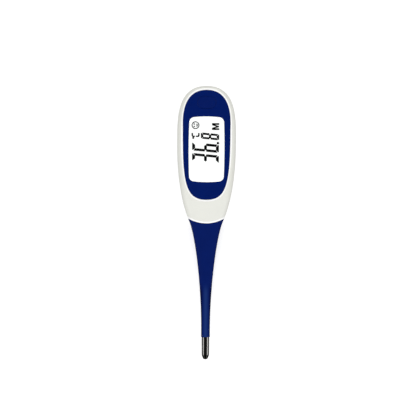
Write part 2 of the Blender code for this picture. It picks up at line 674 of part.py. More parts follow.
def build_board():
    half = BOARD_HALF_WIDTH
    corner = BOARD_CORNER
    head = arc(half - corner, BOARD_HEAD - corner, corner, 90, 0, 6)
    middle, tongue = BOARD_NECK_HALF_WIDTH
    wide_y, middle_y, tongue_y = BOARD_SHOULDER
    right = head + [(half, wide_y), (middle, middle_y), (tongue, tongue_y), (tongue, BOARD_FOOT)]
    board = plate("circuit_board", mirrored(right), BOARD_Z, "board_laminate")
    under = BOARD_Z[0] - SLIM_FIT
    through = (BOARD_Z[0] - THROUGH, BOARD_Z[1] + THROUGH)
    for k, (x, y) in enumerate(BOARD_SCREWS):
        cut(board, rod("board_hole_%d" % k, x, y, through, BOARD_HOLE_RADIUS, segments=16))
        screw("board_screw_%d" % (k + 1), x, y, BOARD_SCREW_Z, under, BOARD_SCREW_RADII)
    chip_half, chip_from, chip_to, chip_under = CHIP
    box("controller_chip", (-chip_half, chip_half), (chip_from, chip_to), (chip_under, under), "chip_package")
    part_x, part_y, part_under = SMALL_PART
    for name, x, y in SMALL_PARTS:
        box(name, (x - part_x, x + part_x), (y - part_y, y + part_y), (part_under, under), "ceramic_part")


def screw(name, x, y, zs, shoulder_z, radii):
    """A small pan-head screw pointing up, with a straight slot across its head."""
    head_radius, shank_radius = radii
    made = rod(name, x, y, (zs[0], shoulder_z), head_radius, "screw_steel", 20)
    shank_z = (shoulder_z - OVERLAP / 3, zs[1])
    join(made, rod(name + "_shank", x, y, shank_z, shank_radius, segments=12))
    wide = 2 * head_radius
    slot_y = (y - SLOT_HALF_WIDTH, y + SLOT_HALF_WIDTH)
    cut(made, box(name + "_slot", (x - wide, x + wide), slot_y, (zs[0] - THROUGH, zs[0] + SLOT_DEPTH)))
    return made


def build_switch_and_button():
    base_y = (BUTTON_Y - SWITCH_HALF, BUTTON_Y + SWITCH_HALF)
    base = box("switch_base", (-SWITCH_HALF, SWITCH_HALF), base_y, SWITCH_Z, "switch_plastic")
    well = (PLUNGER_WELL_FLOOR, SWITCH_Z[1] + THROUGH)
    cut(base, rod("plunger_hole", 0, BUTTON_Y, well, PLUNGER_RADIUS + PLUNGER_FIT))
    plunger = rod("switch_plunger", 0, BUTTON_Y, PLUNGER_Z, PLUNGER_RADIUS, "switch_plastic")
    set_origin(plunger, (0.0, BUTTON_Y, PLUNGER_Z[1]))
    outline = pill(BUTTON_Y, BUTTON_REACH, BUTTON_RADIUS, False)
    key = plate("power_button", outline, (BUTTON_FLANGE_Z[1] - OVERLAP, FACE_TOP), "blue_button")
    flange = pill(BUTTON_Y, BUTTON_REACH, BUTTON_RADIUS + BUTTON_FLANGE, False)
    join(key, plate("button_flange", flange, BUTTON_FLANGE_Z))
    set_origin(key, (0.0, BUTTON_Y, FACE_TOP))


# ---- battery, door and sounder --------------------------------------------------------------

def build_battery():
    can = (CELL_Z[0], CELL_Z[1] - CELL_STEP)
    cell = rod("battery_cell", 0, CELL_Y, can, CELL_RADIUS, "cell_steel", 40)
    raised = (CELL_Z[0] + THROUGH, CELL_Z[1])
    join(cell, rod("cell_cap", 0, CELL_Y, raised, CELL_RADIUS - CELL_STEP_INSET, segments=40))
    strip("battery_contact_negative", LEAF, LEAF_HALF_BREADTH, 0.0)
    strip("battery_contact_positive", CLIP, CLIP_HALF_BREADTH, math.radians(-90))


def strip(name, path, half_breadth, turn):
    """A bent strip of spring metal at the cell, from an (outward, Z) path."""
    mesh = bpy.data.meshes.new(name)
    points = []
    for x in (-half_breadth, half_breadth):
        points += [(x, y, z) for y, z in path]
    count = len(path)
    faces = [(k, k + 1, count + k + 1, count + k) for k in range(count - 1)]
    mesh.from_pydata(points, [], faces)
    made = link(name, mesh, "spring_steel")
    made.location.y = CELL_Y
    made.rotation_euler.z = turn
    thick = made.modifiers.new("thickness", "SOLIDIFY")
    thick.thickness = CONTACT_THICKNESS
    thick.offset = 0.0
    return made


def build_door():
    outline = pill(CELL_Y, DOOR_REACH, DOOR_RADIUS, True, 16)
    door = plate("battery_door", outline, DOOR_Z, "white_shell")
    plug_z = (DOOR_Z[1] - OVERLAP, DOOR_PLUG_TOP)
    join(door, rod("door_plug", 0, CELL_Y, plug_z, DOOR_PLUG_RADIUS, segments=40))
    hole_radius, hole_top = DOOR_SCREW_HOLE
    for k, y in enumerate(DOOR_SCREW_Y):
        cut(door, rod("door_screw_hole_%d" % k, 0, y, (-THROUGH, hole_top), hole_radius, segments=20))
        made = screw("door_screw_%d" % (k + 1), 0.0, y, DOOR_SCREW_Z, DOOR_SCREW_SHOULDER, DOOR_SCREW_RADII)
        set_origin(made, (0.0, y, DOOR_Z[0]))
    set_origin(door, (0.0, CELL_Y, DOOR_Z[0]))
    seal = rod("door_seal", 0, CELL_Y, SEAL_Z, SEAL_RADIUS, "seal_rubber", 40)
    hole_z = (SEAL_Z[0] - THROUGH, SEAL_Z[1] + THROUGH)
    cut(seal, rod("seal_hole", 0, CELL_Y, hole_z, DOOR_PLUG_RADIUS + FIT, segments=40))
    set_origin(seal, (0.0, CELL_Y, DOOR_Z[0]))


def build_buzzer():
    ring_z = (CAVITY_FLOOR + SLIM_FIT, BUZZER_RING_TOP)
    edge = rod("buzzer_ring", 0, BUZZER_Y, ring_z, BUZZER_RADIUS, "seal_rubber", 32)
    hole_z = (ring_z[0] - THROUGH, ring_z[1] + THROUGH)
    cut(edge, rod("buzzer_ring_hole", 0, BUZZER_Y, hole_z, BUZZER_RADIUS - BUZZER_RING_WALL, segments=32))
    rod("buzzer_disc", 0, BUZZER_Y, BUZZER_DISC_Z, BUZZER_RADIUS, "brass_disc", 32)
    rod("buzzer_ceramic", 0, BUZZER_Y, BUZZER_CERAMIC_Z, BUZZER_CERAMIC_RADIUS, "piezo_ceramic", 32)
    for name, x, foot in BUZZER_SPRINGS:
        wire(name, coil(x, BUZZER_Y, foot), SPRING_WIRE, "spring_steel")


def coil(x, y, foot, points_per_turn=8):
    """Points up a small compression spring."""
    count = SPRING_TURNS * points_per_turn
    points = []
    for k in range(count + 1):
        angle = 2 * math.pi * k / points_per_turn
        z = foot + (SPRING_TOP - foot) * k / count
        points.append((x + SPRING_RADIUS * math.cos(angle), y + SPRING_RADIUS * math.sin(angle), z))
    return points


# ---- neck, flexible stem and sensor ---------------------------------------------------------

def build_neck_core():
    ys = [CORE_HEAD, CORE_YS[0], MOUTH_Y + 2 * FIT, MOUTH_Y + 2 * FIT - STEP, *CORE_YS[1:], CORE_FOOT]
    insets = [(WALL if y >= MOUTH_Y + 2 * FIT else MOUTH_WALL) + FIT for y in ys]
    core = body_loft("neck_core", ys, insets, "core_plastic")
    ends = (CORE_FOOT - THROUGH, CORE_HEAD + THROUGH)
    heights = (CAVITY_FLOOR + FIT, CAVITY_CEILING - FIT)
    keep(core, box("core_limit", (-TRIM_HALF_WIDTH, TRIM_HALF_WIDTH), ends, heights))
    cut(core, stem_rod("core_bore", ends, STEM_BORE))


def stem_stations(head, foot):
    count = max(2, math.ceil((head - foot) / STATION))
    return [head + (foot - head) * k / count for k in range(count + 1)]


def build_stem():
    root_foot = HINGE_YS[0] + LINK_GAP / 2
    ys = stem_stations(STEM_HEAD, root_foot)
    root = body_loft("flex_stem_root", ys, [0.0] * len(ys), "blue_elastomer")
    cut(root, plate("root_limit", neck_cutline(FIT), (-THROUGH, FACE_TOP + THROUGH)))
    socket_ys = [CORE_HEAD, *CORE_YS[1:], CORE_FOOT, CORE_FOOT - FIT]
    cut(root, body_loft("core_socket", socket_ys, [MOUTH_WALL] * len(socket_ys)))
    cut(root, stem_rod("root_bore", (root_foot - THROUGH, CORE_FOOT + THROUGH), STEM_BORE))
    names = ("flex_stem_link_1", "flex_stem_link_2", "flex_stem_link_3", "flex_stem_end")
    feet = [y + LINK_GAP / 2 for y in HINGE_YS[1:]] + [STEM_END]
    for name, hinge_y, foot in zip(names, HINGE_YS, feet):
        ys = stem_stations(hinge_y - LINK_GAP / 2, foot)
        piece = body_loft(name, ys, [0.0] * len(ys), "blue_elastomer")
        cut(piece, stem_rod(name + "_bore", (foot - THROUGH, hinge_y + THROUGH), STEM_BORE))
        if name == "flex_stem_end":
            cut(piece, stem_rod("cap_socket", (foot - THROUGH, SHANK_HEAD + FIT), SHANK_RADIUS + FIT))
        set_origin(piece, (0.0, hinge_y, MID))


def build_sensor():
    inner = SHANK_RADIUS - CAP_WALL
    nose = [(radius, TIP_END + distance) for radius, distance in CAP_NOSE]
    hollow_end = TIP_END + CAP_WALL
    hollow = [(0.0, hollow_end)]
    for turn in (82, 55, 28, 0):
        angle = math.radians(turn)
        hollow.append((inner * math.cos(angle), hollow_end + CAP_HOLLOW * (1 - math.sin(angle))))
    step_y = STEM_END - CAP_STEP
    outside = [(SHANK_RADIUS, SHANK_HEAD), (SHANK_RADIUS, step_y), (CAP_RADIUS, step_y - CAP_STEP)]
    profile = outside + nose + [(0.0, TIP_END)] + hollow + [(inner, SHANK_HEAD)]
    cap = turned("probe_cap", profile, "probe_steel")
    cap.data.transform(Matrix.Translation((0.0, 0.0, -HINGE_YS[3])))
    cap.location.y = HINGE_YS[3]
    fill = stem_rod("tip_potting", POTTING_Y, inner - FIT, "resin")
    bore_y = (POTTING_Y[0] - THROUGH, POTTING_Y[1] + THROUGH)
    cut(fill, stem_rod("potting_bore", bore_y, POTTING_BORE))
    set_origin(fill, (0.0, HINGE_YS[3], MID))
    bm = bmesh.new()
    bmesh.ops.create_uvsphere(bm, u_segments=14, v_segments=8, radius=BEAD_RADIUS)
    bmesh.ops.translate(bm, vec=(0.0, BEAD_Y, MID), verts=bm.verts)
    bead = from_bmesh("thermistor_bead", bm, "resin")
    set_origin(bead, (0.0, HINGE_YS[3], MID))


def build_leads():
    leads = (("sensor_lead_left", -1, "lead_white"), ("sensor_lead_right", 1, "lead_red"))
    for name, side, finish_name in leads:
        start = [(side * x, y, z) for x, y, z in LEAD_START]
        straight = [(side * LEAD_X, y, MID) for y in LEAD_YS]
        wire(name, start + straight, LEAD_RADIUS, finish_name)


clear_scene()
PARTS = new_collection("digital_thermometer")
CUTTERS = new_collection("cutters")
build_front_shell()
build_back_shell()
build_face()
build_display()
build_board()
build_switch_and_button()
build_battery()
build_door()
build_buzzer()
build_neck_core()
build_stem()
build_sensor()
build_leads()
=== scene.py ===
"""Visual model of the digital thermometer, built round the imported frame. Metres, +Z out of the display."""

import math

import bmesh
import bpy
import numpy as np
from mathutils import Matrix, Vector


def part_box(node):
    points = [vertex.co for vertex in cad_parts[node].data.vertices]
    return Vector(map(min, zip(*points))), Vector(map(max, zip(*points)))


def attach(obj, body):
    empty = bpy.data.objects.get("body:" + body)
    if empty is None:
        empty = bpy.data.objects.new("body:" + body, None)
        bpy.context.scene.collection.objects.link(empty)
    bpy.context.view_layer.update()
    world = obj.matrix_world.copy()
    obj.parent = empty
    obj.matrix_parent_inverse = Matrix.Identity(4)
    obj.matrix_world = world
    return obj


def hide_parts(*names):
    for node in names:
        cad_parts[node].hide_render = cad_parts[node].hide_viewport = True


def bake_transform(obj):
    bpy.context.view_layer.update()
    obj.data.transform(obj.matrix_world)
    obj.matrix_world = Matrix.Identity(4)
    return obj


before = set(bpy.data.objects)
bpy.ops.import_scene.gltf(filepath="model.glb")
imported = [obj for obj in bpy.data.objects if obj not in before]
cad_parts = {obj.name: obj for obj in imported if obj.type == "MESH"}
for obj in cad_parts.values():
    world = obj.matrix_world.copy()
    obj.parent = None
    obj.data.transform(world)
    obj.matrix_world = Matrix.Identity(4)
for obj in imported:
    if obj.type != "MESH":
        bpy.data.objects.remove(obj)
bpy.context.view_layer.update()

MM = 0.001

# ---- the body's shape: the CAD model's curves, a touch smaller where the photo's outline is ----
FRONT_BOX, CAP_BOX, FACE_BOX = [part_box(name) for name in ("front_shell", "probe_cap", "face_panel")]
HEAD_TRIM = 0.2 * MM
HEAD_END = FRONT_BOX[1].y - HEAD_TRIM
TIP_END = CAP_BOX[0].y
FACE_TOP = FACE_BOX[1].z
MID = FRONT_BOX[1].z / 2  # height of the plane that parts the front from the back
SQUARENESS = 2.8  # power of the head's superellipse section; the stem's is 2
LEDGE = 0.45 * MM
ROUND_FROM = -28.0 * MM
WIDEST = (14.2 * MM, 38.0 * MM)
WAIST = (8.12 * MM, 0.43 * MM)
WAIST_LEAN = 0.443
STEM_FOOT = (2.1 * MM, -52.0 * MM)
# the right half of each plan, from the head down, as Bezier curves: start, two handles, end
BODY_CURVES = (
    ((0.0, HEAD_END), (14.77 * MM, HEAD_END), (WIDEST[0], 49.9 * MM), WIDEST),
    (WIDEST, (WIDEST[0], 28.6 * MM), (WAIST[0] + WAIST_LEAN * 12 * MM, WAIST[1] + 12 * MM), WAIST),
    (WAIST, (WAIST[0] - WAIST_LEAN * 6.4 * MM, WAIST[1] - 6.4 * MM), (STEM_FOOT[0], -30.1 * MM), STEM_FOOT),
)
FACE_HEAD = 63.7 * MM
FACE_FOOT = 10.93 * MM
FACE_WIDEST = (11.42 * MM, 45.0 * MM)
FACE_CURVES = (
    ((0.0, FACE_HEAD), (12.86 * MM, FACE_HEAD), (FACE_WIDEST[0], 47.8 * MM), FACE_WIDEST),
    (FACE_WIDEST, (FACE_WIDEST[0], 18.8 * MM), (9.96 * MM, FACE_FOOT), (0.0, FACE_FOOT)),
)
WINDOW_HALF_WIDTH = 8.6 * MM
WINDOW_HEAD = 50.95 * MM
WINDOW_FOOT = 19.4 * MM
WINDOW_CORNER = 2.0 * MM
WINDOW_BARREL = 0.65 * MM  # how far the window's ends bow out
WINDOW_SIDE_BARREL = 0.38 * MM  # how far its sides bow out
PANEL_BACK = 11.7 * MM
RECESS_FLOOR = 11.6 * MM
WALL = 1.4 * MM
MOUTH_WALL = 1.9 * MM
CAVITY_FLOOR = 1.6 * MM
CAVITY_CEILING = 10.2 * MM
NECK_ARC_RADIUS = 17.1 * MM
NECK_ARC_Y = 16.7 * MM
BUTTON_Y = 57.7 * MM
BUTTON_RADIUS = 2.9 * MM
BUTTON_REACH = 1.5 * MM  # from the button's middle to where its round ends start
BUTTON_FLANGE_Z = (9.0 * MM, 9.9 * MM)
CELL_Y = 45.0 * MM
CELL_WALL_RADIUS = (10.35 * MM, 11.0 * MM)
DOOR_RADIUS = 10.85 * MM
DOOR_REACH = 4.6 * MM
DOOR_Z = (0.2 * MM, 0.85 * MM)
DOOR_RECESS = 0.95 * MM
DOOR_PLUG_RADIUS = 9.5 * MM
DOOR_PLUG_TOP = 1.7 * MM
DOOR_SCREW_Y = (32.6 * MM, 57.4 * MM)
BOSS_RADIUS = 1.5 * MM
BOSS_TOP = 4.6 * MM
STEM_BORE = 1.0 * MM
CORE_FOOT = -20.0 * MM
HINGE_YS = (-26.7 * MM, -34.0 * MM, -41.3 * MM, -48.5 * MM)
STEM_END = -55.3 * MM
SHANK_HEAD = -51.5 * MM
SHANK_RADIUS = 1.45 * MM


def bezier(p0, p1, p2, p3, count):
    t = np.linspace(0.0, 1.0, count)[:, None]
    p0, p1, p2, p3 = (np.array(p) for p in (p0, p1, p2, p3))
    return (1 - t) ** 3 * p0 + 3 * (1 - t) ** 2 * t * p1 + 3 * (1 - t) * t ** 2 * p2 + t ** 3 * p3


def half_outline(curves, count=400):
    runs = [bezier(*curve, count) for curve in curves]
    return np.vstack([runs[0]] + [run[1:] for run in runs[1:]])


BODY = half_outline(BODY_CURVES)
FACE = half_outline(FACE_CURVES)


def half_width(y, outline=BODY):
    return np.interp(y, outline[::-1, 1], outline[::-1, 0])


def smoothstep(y, start, end):
    t = np.clip((y - start) / (end - start), 0.0, 1.0)
    return t * t * (3 - 2 * t)


def exponent(y):
    return SQUARENESS - (SQUARENESS - 2) * smoothstep(y, FACE_FOOT, ROUND_FROM)


def half_depth(y):
    """Half the body's depth, before the front and back are cut flat."""
    nose = FACE_HEAD + LEDGE
    foot = FACE_FOOT - LEDGE
    top = MID * np.sqrt(np.maximum(1 - ((y - nose) / (HEAD_END - nose)) ** 2, 0.0))
    reach = np.clip((half_width(y, FACE) + LEDGE) / np.maximum(half_width(y), MM), 0.0, 0.99)
    middle = MID / (1 - reach ** SQUARENESS) ** (1 / SQUARENESS)
    ratio = MID / half_width(foot)
    low = half_width(y) * (ratio + (1 - ratio) * smoothstep(y, foot, ROUND_FROM))
    return np.where(y > nose, top, np.where(y > foot, middle, low))


def rise(x, y):
    """Height of the full body above its middle plane."""
    n = exponent(y)
    share = np.clip(1 - (np.abs(x) / np.maximum(half_width(y), 1e-7)) ** n, 0.0, 1.0)
    return half_depth(y) * share ** (1 / n)


def soft_min(a, b, k):
    return np.minimum(a, b) - np.maximum(k - np.abs(a - b), 0.0) ** 2 / (4 * k)


# ---- outlines ----

def shares_of(polyline):
    """How much of a polyline's length lies before each of its points."""
    s = np.concatenate([[0.0], np.cumsum(np.linalg.norm(np.diff(polyline, axis=0), axis=1))])
    return s / s[-1]


def along(polyline, shares):
    """Points at shares of a polyline's length."""
    s = shares_of(polyline)
    return np.column_stack([np.interp(shares, s, polyline[:, k]) for k in (0, 1)])


def share_at(polyline, y):
    """The share of a polyline's length at which its Y is y, for a polyline whose Y falls."""
    return np.interp(-y, -polyline[:, 1], shares_of(polyline))


def offset(loop, distance):
    """A closed clockwise loop, moved outwards by a distance."""
    step = np.roll(loop, -1, axis=0) - loop
    after = np.column_stack([-step[:, 1], step[:, 0]])
    after /= np.linalg.norm(after, axis=1)[:, None]
    before = np.roll(after, 1, axis=0)
    middle = before + after
    middle /= np.linalg.norm(middle, axis=1)[:, None]
    stretch = np.clip((middle * before).sum(axis=1), 0.5, 1.0)
    return loop + middle * (distance / stretch)[:, None]


def mirrored(right):
    """A closed clockwise loop from its right half, which runs from the top to the foot on the axis."""
    left = right[-2:0:-1] * np.array([-1.0, 1.0])
    return np.vstack([right, left])


def arc(centre_x, centre_y, radius, start, end, steps):
    a = np.radians(np.linspace(start, end, steps + 1))
    return np.column_stack([centre_x + radius * np.cos(a), centre_y + radius * np.sin(a)])


def rectangle(half, foot, head, corner, steps=10):
    x, low, high = half - corner, foot + corner, head - corner
    turns = ((x, high, 90, 0), (x, low, 0, -90), (-x, low, 270, 180), (-x, high, 180, 90))
    return np.vstack([arc(*centre, corner, start, end, steps) for *centre, start, end in turns])


def window_outline(grow):
    """The window's outline with bowed ends and sides, grown outwards."""
    middle = (WINDOW_HEAD + WINDOW_FOOT) / 2
    tall = (WINDOW_HEAD - WINDOW_FOOT) / 2
    half = WINDOW_HALF_WIDTH - WINDOW_SIDE_BARREL
    corners = rectangle(half, -(tall - WINDOW_BARREL), tall - WINDOW_BARREL, WINDOW_CORNER)
    points = []
    for start, end in zip(corners, np.roll(corners, -1, axis=0)):
        parts = 16 if np.linalg.norm(end - start) > 2 * WINDOW_CORNER else 1
        points += [start + (end - start) * k / parts for k in range(parts)]
    x, y = np.array(points).T
    bow_y = np.maximum(1 - (x / half) ** 2, 0) * np.sign(y) * np.minimum(np.abs(y) / (tall - 4 * MM), 1)
    bow_x = np.maximum(1 - (y / tall) ** 2, 0) * np.sign(x) * np.minimum(np.abs(x) / half, 1)
    x = (x + WINDOW_SIDE_BARREL * bow_x) * (WINDOW_HALF_WIDTH + grow) / WINDOW_HALF_WIDTH
    y = (y + WINDOW_BARREL * bow_y) * (tall + grow) / tall
    return np.column_stack([x, middle + y])


def pill(centre_y, reach, radius, along_y=False, steps=32):
    """A slot with round ends, whose ends' centres lie a reach to either side of its own."""
    if along_y:
        return np.vstack([arc(0, centre_y + reach, radius, 180, 0, steps),
                          arc(0, centre_y - reach, radius, 0, -180, steps)])
    return np.vstack([arc(reach, centre_y, radius, 90, -90, steps),
                      arc(-reach, centre_y, radius, -90, -270, steps)])


# ---- meshes ----

def from_bmesh(name, bm, angle=30.0):
    """A smooth object from a finished bmesh, with sharp edges where it turns by more than an angle."""
    bmesh.ops.recalc_face_normals(bm, faces=bm.faces)
    mesh = bpy.data.meshes.new(name)
    bm.to_mesh(mesh)
    bm.free()
    mesh.shade_smooth()
    mesh.set_sharp_from_angle(angle=math.radians(angle))
    made = bpy.data.objects.new(name, mesh)
    bpy.context.scene.collection.objects.link(made)
    return made


def join_loops(bm, low, high):
    """A band of quads between two loops of as many points."""
    for k in range(len(low)):
        after = (k + 1) % len(low)
        bm.faces.new((low[k], low[after], high[after], high[k]))


def skin_rings(name, rings, caps=True):
    """Rings of points joined in turn, with both ends capped or the last ring joined to the first."""
    bm = bmesh.new()
    rows = [[bm.verts.new(p) for p in ring] for ring in rings]
    for low, high in zip(rows, rows[1:] + ([] if caps else rows[:1])):
        join_loops(bm, low, high)
    if caps:
        bm.faces.new(rows[0])
        bm.faces.new(rows[-1])
    return from_bmesh(name, bm)


def baked(source):
    """The object with its modifiers applied."""
    bpy.context.view_layer.update()
    evaluated = source.evaluated_get(bpy.context.evaluated_depsgraph_get())
    mesh = bpy.data.meshes.new_from_object(evaluated)
    mesh.transform(source.matrix_world)
    name = source.name
    bpy.data.objects.remove(source, do_unlink=True)
    bm = bmesh.new()
    bm.from_mesh(mesh)
    bpy.data.meshes.remove(mesh)
    bmesh.ops.remove_doubles(bm, verts=bm.verts, dist=0.0002 * MM)
    return from_bmesh(name, bm)


def combine(target, tools, operation):
    for tool in tools:
        change = target.modifiers.new(tool.name, "BOOLEAN")
        change.operation = operation
        change.solver = "EXACT"
        change.object = tool
    made = baked(target)
    for tool in tools:
        bpy.data.objects.remove(tool, do_unlink=True)
    return made


def plate(name, loops, zs, bevel=0.0):
    """A flat outline with holes, extruded between two heights, with rounded edges."""
    curve = bpy.data.curves.new(name, "CURVE")
    curve.dimensions = "2D"
    curve.fill_mode = "BOTH"
    curve.extrude = (zs[1] - zs[0]) / 2 - bevel
    curve.bevel_depth = bevel
    curve.bevel_resolution = 3
    curve.offset = -bevel
    for loop in loops:
        spline = curve.splines.new("POLY")
        spline.points.add(len(loop) - 1)
        for point, (x, y) in zip(spline.points, loop):
            point.co = (x, y, 0.0, 1.0)
        spline.use_cyclic_u = True
    flat = bpy.data.objects.new(name, curve)
    flat.location.z = sum(zs) / 2
    bpy.context.scene.collection.objects.link(flat)
    return baked(flat)


def rod(name, y, zs, radius, segments):
    """An upright cylinder on the plane x = 0."""
    bm = bmesh.new()
    bmesh.ops.create_cone(bm, cap_ends=True, segments=segments, radius1=radius, radius2=radius,
                          depth=zs[1] - zs[0])
    bmesh.ops.translate(bm, vec=(0.0, y, sum(zs) / 2), verts=bm.verts)
    return from_bmesh(name, bm)


def turned(name, profile, segments=128):
    """A closed (radius, y) profile turned about the stem's axis, which it may cross."""
    bm = bmesh.new()
    angles = np.linspace(0, 2 * math.pi, segments, endpoint=False)
    rows = []
    for radius, y in profile:
        around = angles if radius > 1e-9 else angles[:1]
        rows.append([bm.verts.new((radius * math.cos(a), y, MID - radius * math.sin(a))) for a in around])
    for low, high in zip(rows, rows[1:] + rows[:1]):
        if len(low) == len(high) == segments:
            join_loops(bm, low, high)
        elif len(low) != len(high):
            hub, rim = (low, high) if len(low) == 1 else (high, low)
            for k in range(segments):
                bm.faces.new((hub[0], rim[(k + 1) % segments], rim[k]))
    return from_bmesh(name, bm, angle=25.0)


# ---- materials ----

NAVY = (0.0002, 0.0090, 0.1090)
# painted highlight along the top of the stem's slim part, and painted shade down its sides
CROWN_HIGHLIGHT_BLUE = (0.0080, 0.0290, 0.150)
FLANK_SHADE_BLUE = (0.0002, 0.0030, 0.050)
SLIM_PAINTED_LIGHT_FROM = (-28.6 * MM, -34.6 * MM)  # along the stem, where the painted highlight and painted shade of its slim part start and are full
CROWN_HIGHLIGHT_SPREAD = (1.85 * MM, -0.3 * MM)  # across the stem, where the painted highlight along the crown starts and is full
CROWN_HIGHLIGHT_RISE = 0.8 * MM
# across the stem, where the painted shade down the sides starts and is full
FLANK_SHADE_SPREAD = (1.1 * MM, 2.2 * MM)
# painted highlight: white painted along the lip round the face and along the lip at the neck
LIP_HIGHLIGHT_WHITE = (1.0, 1.0, 1.0)
FACE_LIP_HIGHLIGHT = (0.95 * MM, 0.60 * MM)  # outwards from the face, where the lip's painted highlight starts and is full
FACE_LIP_HIGHLIGHT_RISE = 4.0 * MM
FACE_REACH_UNIT = 40.0 * MM  # a length that brings the face's outline between 0 and 1
NECK_LIP_HIGHLIGHT = (0.90 * MM, 0.50 * MM)  # inwards from the neck arc
NECK_LIP_HIGHLIGHT_BELOW = (8.0 * MM, 6.0 * MM)
# painted dark reflection: the steel's base colour is taken towards grey on the cap's nose
NOSE_DARK_REFLECTION_GREY = (0.10, 0.10, 0.095)
NOSE_DARK_REFLECTION_FADE = (TIP_END + 2.35 * MM, TIP_END + 1.95 * MM)  # along the cap, where the painted dark reflection on its nose starts and is full


def new_material(name):
    made = bpy.data.materials.new(name)
    made.use_nodes = True
    return made, made.node_tree


def feed(tree, socket, value):
    """Links a socket to another, or sets it to a number or colour."""
    if isinstance(value, bpy.types.NodeSocket):
        tree.links.new(value, socket)
    else:
        socket.default_value = value


def set_inputs(tree, made, **values):
    """Feeds a node's inputs by name, with _ for a space."""
    for name, value in values.items():
        feed(tree, made.inputs[name.replace("_", " ")], value)


def node(tree, kind, **values):
    made = tree.nodes.new("ShaderNode" + kind)
    set_inputs(tree, made, **values)
    return made


def ramp(tree, value, stops, interpolation="LINEAR"):
    made = node(tree, "ValToRGB", Fac=value)
    made.color_ramp.interpolation = interpolation
    elements = made.color_ramp.elements
    while len(elements) < len(stops):
        elements.new(0.5)
    for element, (position, colour) in zip(elements, stops):
        element.position = position
        element.color = (*colour, 1.0)
    return made.outputs["Color"]


def calc(tree, operation, *values):
    made = tree.nodes.new("ShaderNodeMath")
    made.operation = operation
    for socket, value in zip(made.inputs, values):
        feed(tree, socket, value)
    return made.outputs[0]


def hypotenuse(tree, a, b):
    squares = [calc(tree, "MULTIPLY", side, side) for side in (a, b)]
    return calc(tree, "SQRT", calc(tree, "ADD", *squares))


def fade(tree, value, start, end):
    """0 where the value is at start or before it, 1 at end and beyond, smooth in between."""
    made = node(tree, "MapRange", Value=value, From_Min=start, From_Max=end)
    made.interpolation_type = "SMOOTHSTEP"
    return made.outputs["Result"]


def object_place(tree):
    return node(tree, "TexCoord").outputs["Object"]


def object_axes(tree):
    return node(tree, "SeparateXYZ", Vector=object_place(tree)).outputs


def repaint(tree, share, colour):
    """Takes a share of the material's base colour towards another."""
    base = tree.nodes["Principled BSDF"].inputs["Base Color"]
    made = tree.nodes.new("ShaderNodeMix")
    made.data_type = "RGBA"
    for socket, value in zip((0, 6, 7), (share, base.links[0].from_socket, (*colour, 1.0))):
        feed(tree, made.inputs[socket], value)
    tree.links.new(made.outputs[2], base)


def surface(name, colour, roughness, metallic=0.0, variation=0.05, spread=0.08, grain=6000.0, bump=0.02,
            cloud=220.0, stretch=(1.0, 1.0, 1.0), **sockets):
    """A finish whose colour drifts in soft clouds, with roughness and fine relief from its own grain."""
    made, tree = new_material(name)
    place = node(tree, "Mapping", Vector=object_place(tree), Scale=stretch).outputs["Vector"]
    clouds = node(tree, "TexNoise", Vector=place, Scale=cloud, Detail=4.0).outputs["Fac"]
    fine = node(tree, "TexNoise", Vector=place, Scale=grain, Detail=2.0).outputs["Fac"]
    dark = [c * (1 - variation) for c in colour]
    pale = [min(c * (1 + variation), 1.0) for c in colour]
    gloss = node(tree, "MapRange", Value=fine, From_Min=0.3, From_Max=0.7, To_Min=roughness * (1 - spread),
                 To_Max=roughness * (1 + spread))
    relief = node(tree, "Bump", Strength=0.5, Distance=bump * MM, Height=fine)
    drift = ramp(tree, clouds, ((0.3, dark), (0.7, pale)))
    set_inputs(tree, tree.nodes["Principled BSDF"], Base_Color=drift, Metallic=metallic,
               Roughness=gloss.outputs["Result"], Normal=relief.outputs["Normal"], **sockets)
    return made


def shell_white(name):
    """White plastic, with a painted highlight along the lip round the face and along the lip at the neck."""
    made = surface(name, (0.785, 0.79, 0.735), 0.30, variation=0.008, bump=0.006)
    tree = made.node_tree
    x, y, z = object_axes(tree)

    # how far the face reaches from its middle, against the turn from straight up (0) to straight down (1)
    middle_y = (FACE_HEAD + FACE_FOOT) / 2
    turns = np.arctan2(FACE[:, 0], FACE[:, 1] - middle_y) / math.pi
    reaches = np.hypot(FACE[:, 0], FACE[:, 1] - middle_y) / FACE_REACH_UNIT
    up = calc(tree, "SUBTRACT", y, middle_y)
    turn = calc(tree, "ARCTAN2", calc(tree, "ABSOLUTE", x), up)
    curve = node(tree, "FloatCurve", Value=calc(tree, "DIVIDE", turn, math.pi))
    points = curve.mapping.curves[0].points
    points[0].location = (0.0, reaches[0])
    points[1].location = (1.0, reaches[-1])
    for t in np.linspace(0.0, 1.0, 41)[1:-1]:
        points.new(t, np.interp(t, turns, reaches))
    curve.mapping.update()

    reach = calc(tree, "MULTIPLY", curve.outputs["Value"], FACE_REACH_UNIT)
    lip = fade(tree, calc(tree, "SUBTRACT", hypotenuse(tree, x, up), reach), *FACE_LIP_HIGHLIGHT)
    lip = calc(tree, "MULTIPLY", lip, fade(tree, z, MID, MID + FACE_LIP_HIGHLIGHT_RISE))
    radius = hypotenuse(tree, x, calc(tree, "SUBTRACT", y, NECK_ARC_Y))
    neck = fade(tree, radius, NECK_ARC_RADIUS - NECK_LIP_HIGHLIGHT[0], NECK_ARC_RADIUS - NECK_LIP_HIGHLIGHT[1])
    neck = calc(tree, "MULTIPLY", neck, fade(tree, y, *NECK_LIP_HIGHLIGHT_BELOW))
    # painted highlight: the base colour of both lips is taken towards white
    repaint(tree, calc(tree, "MAXIMUM", lip, neck), LIP_HIGHLIGHT_WHITE)
    return made


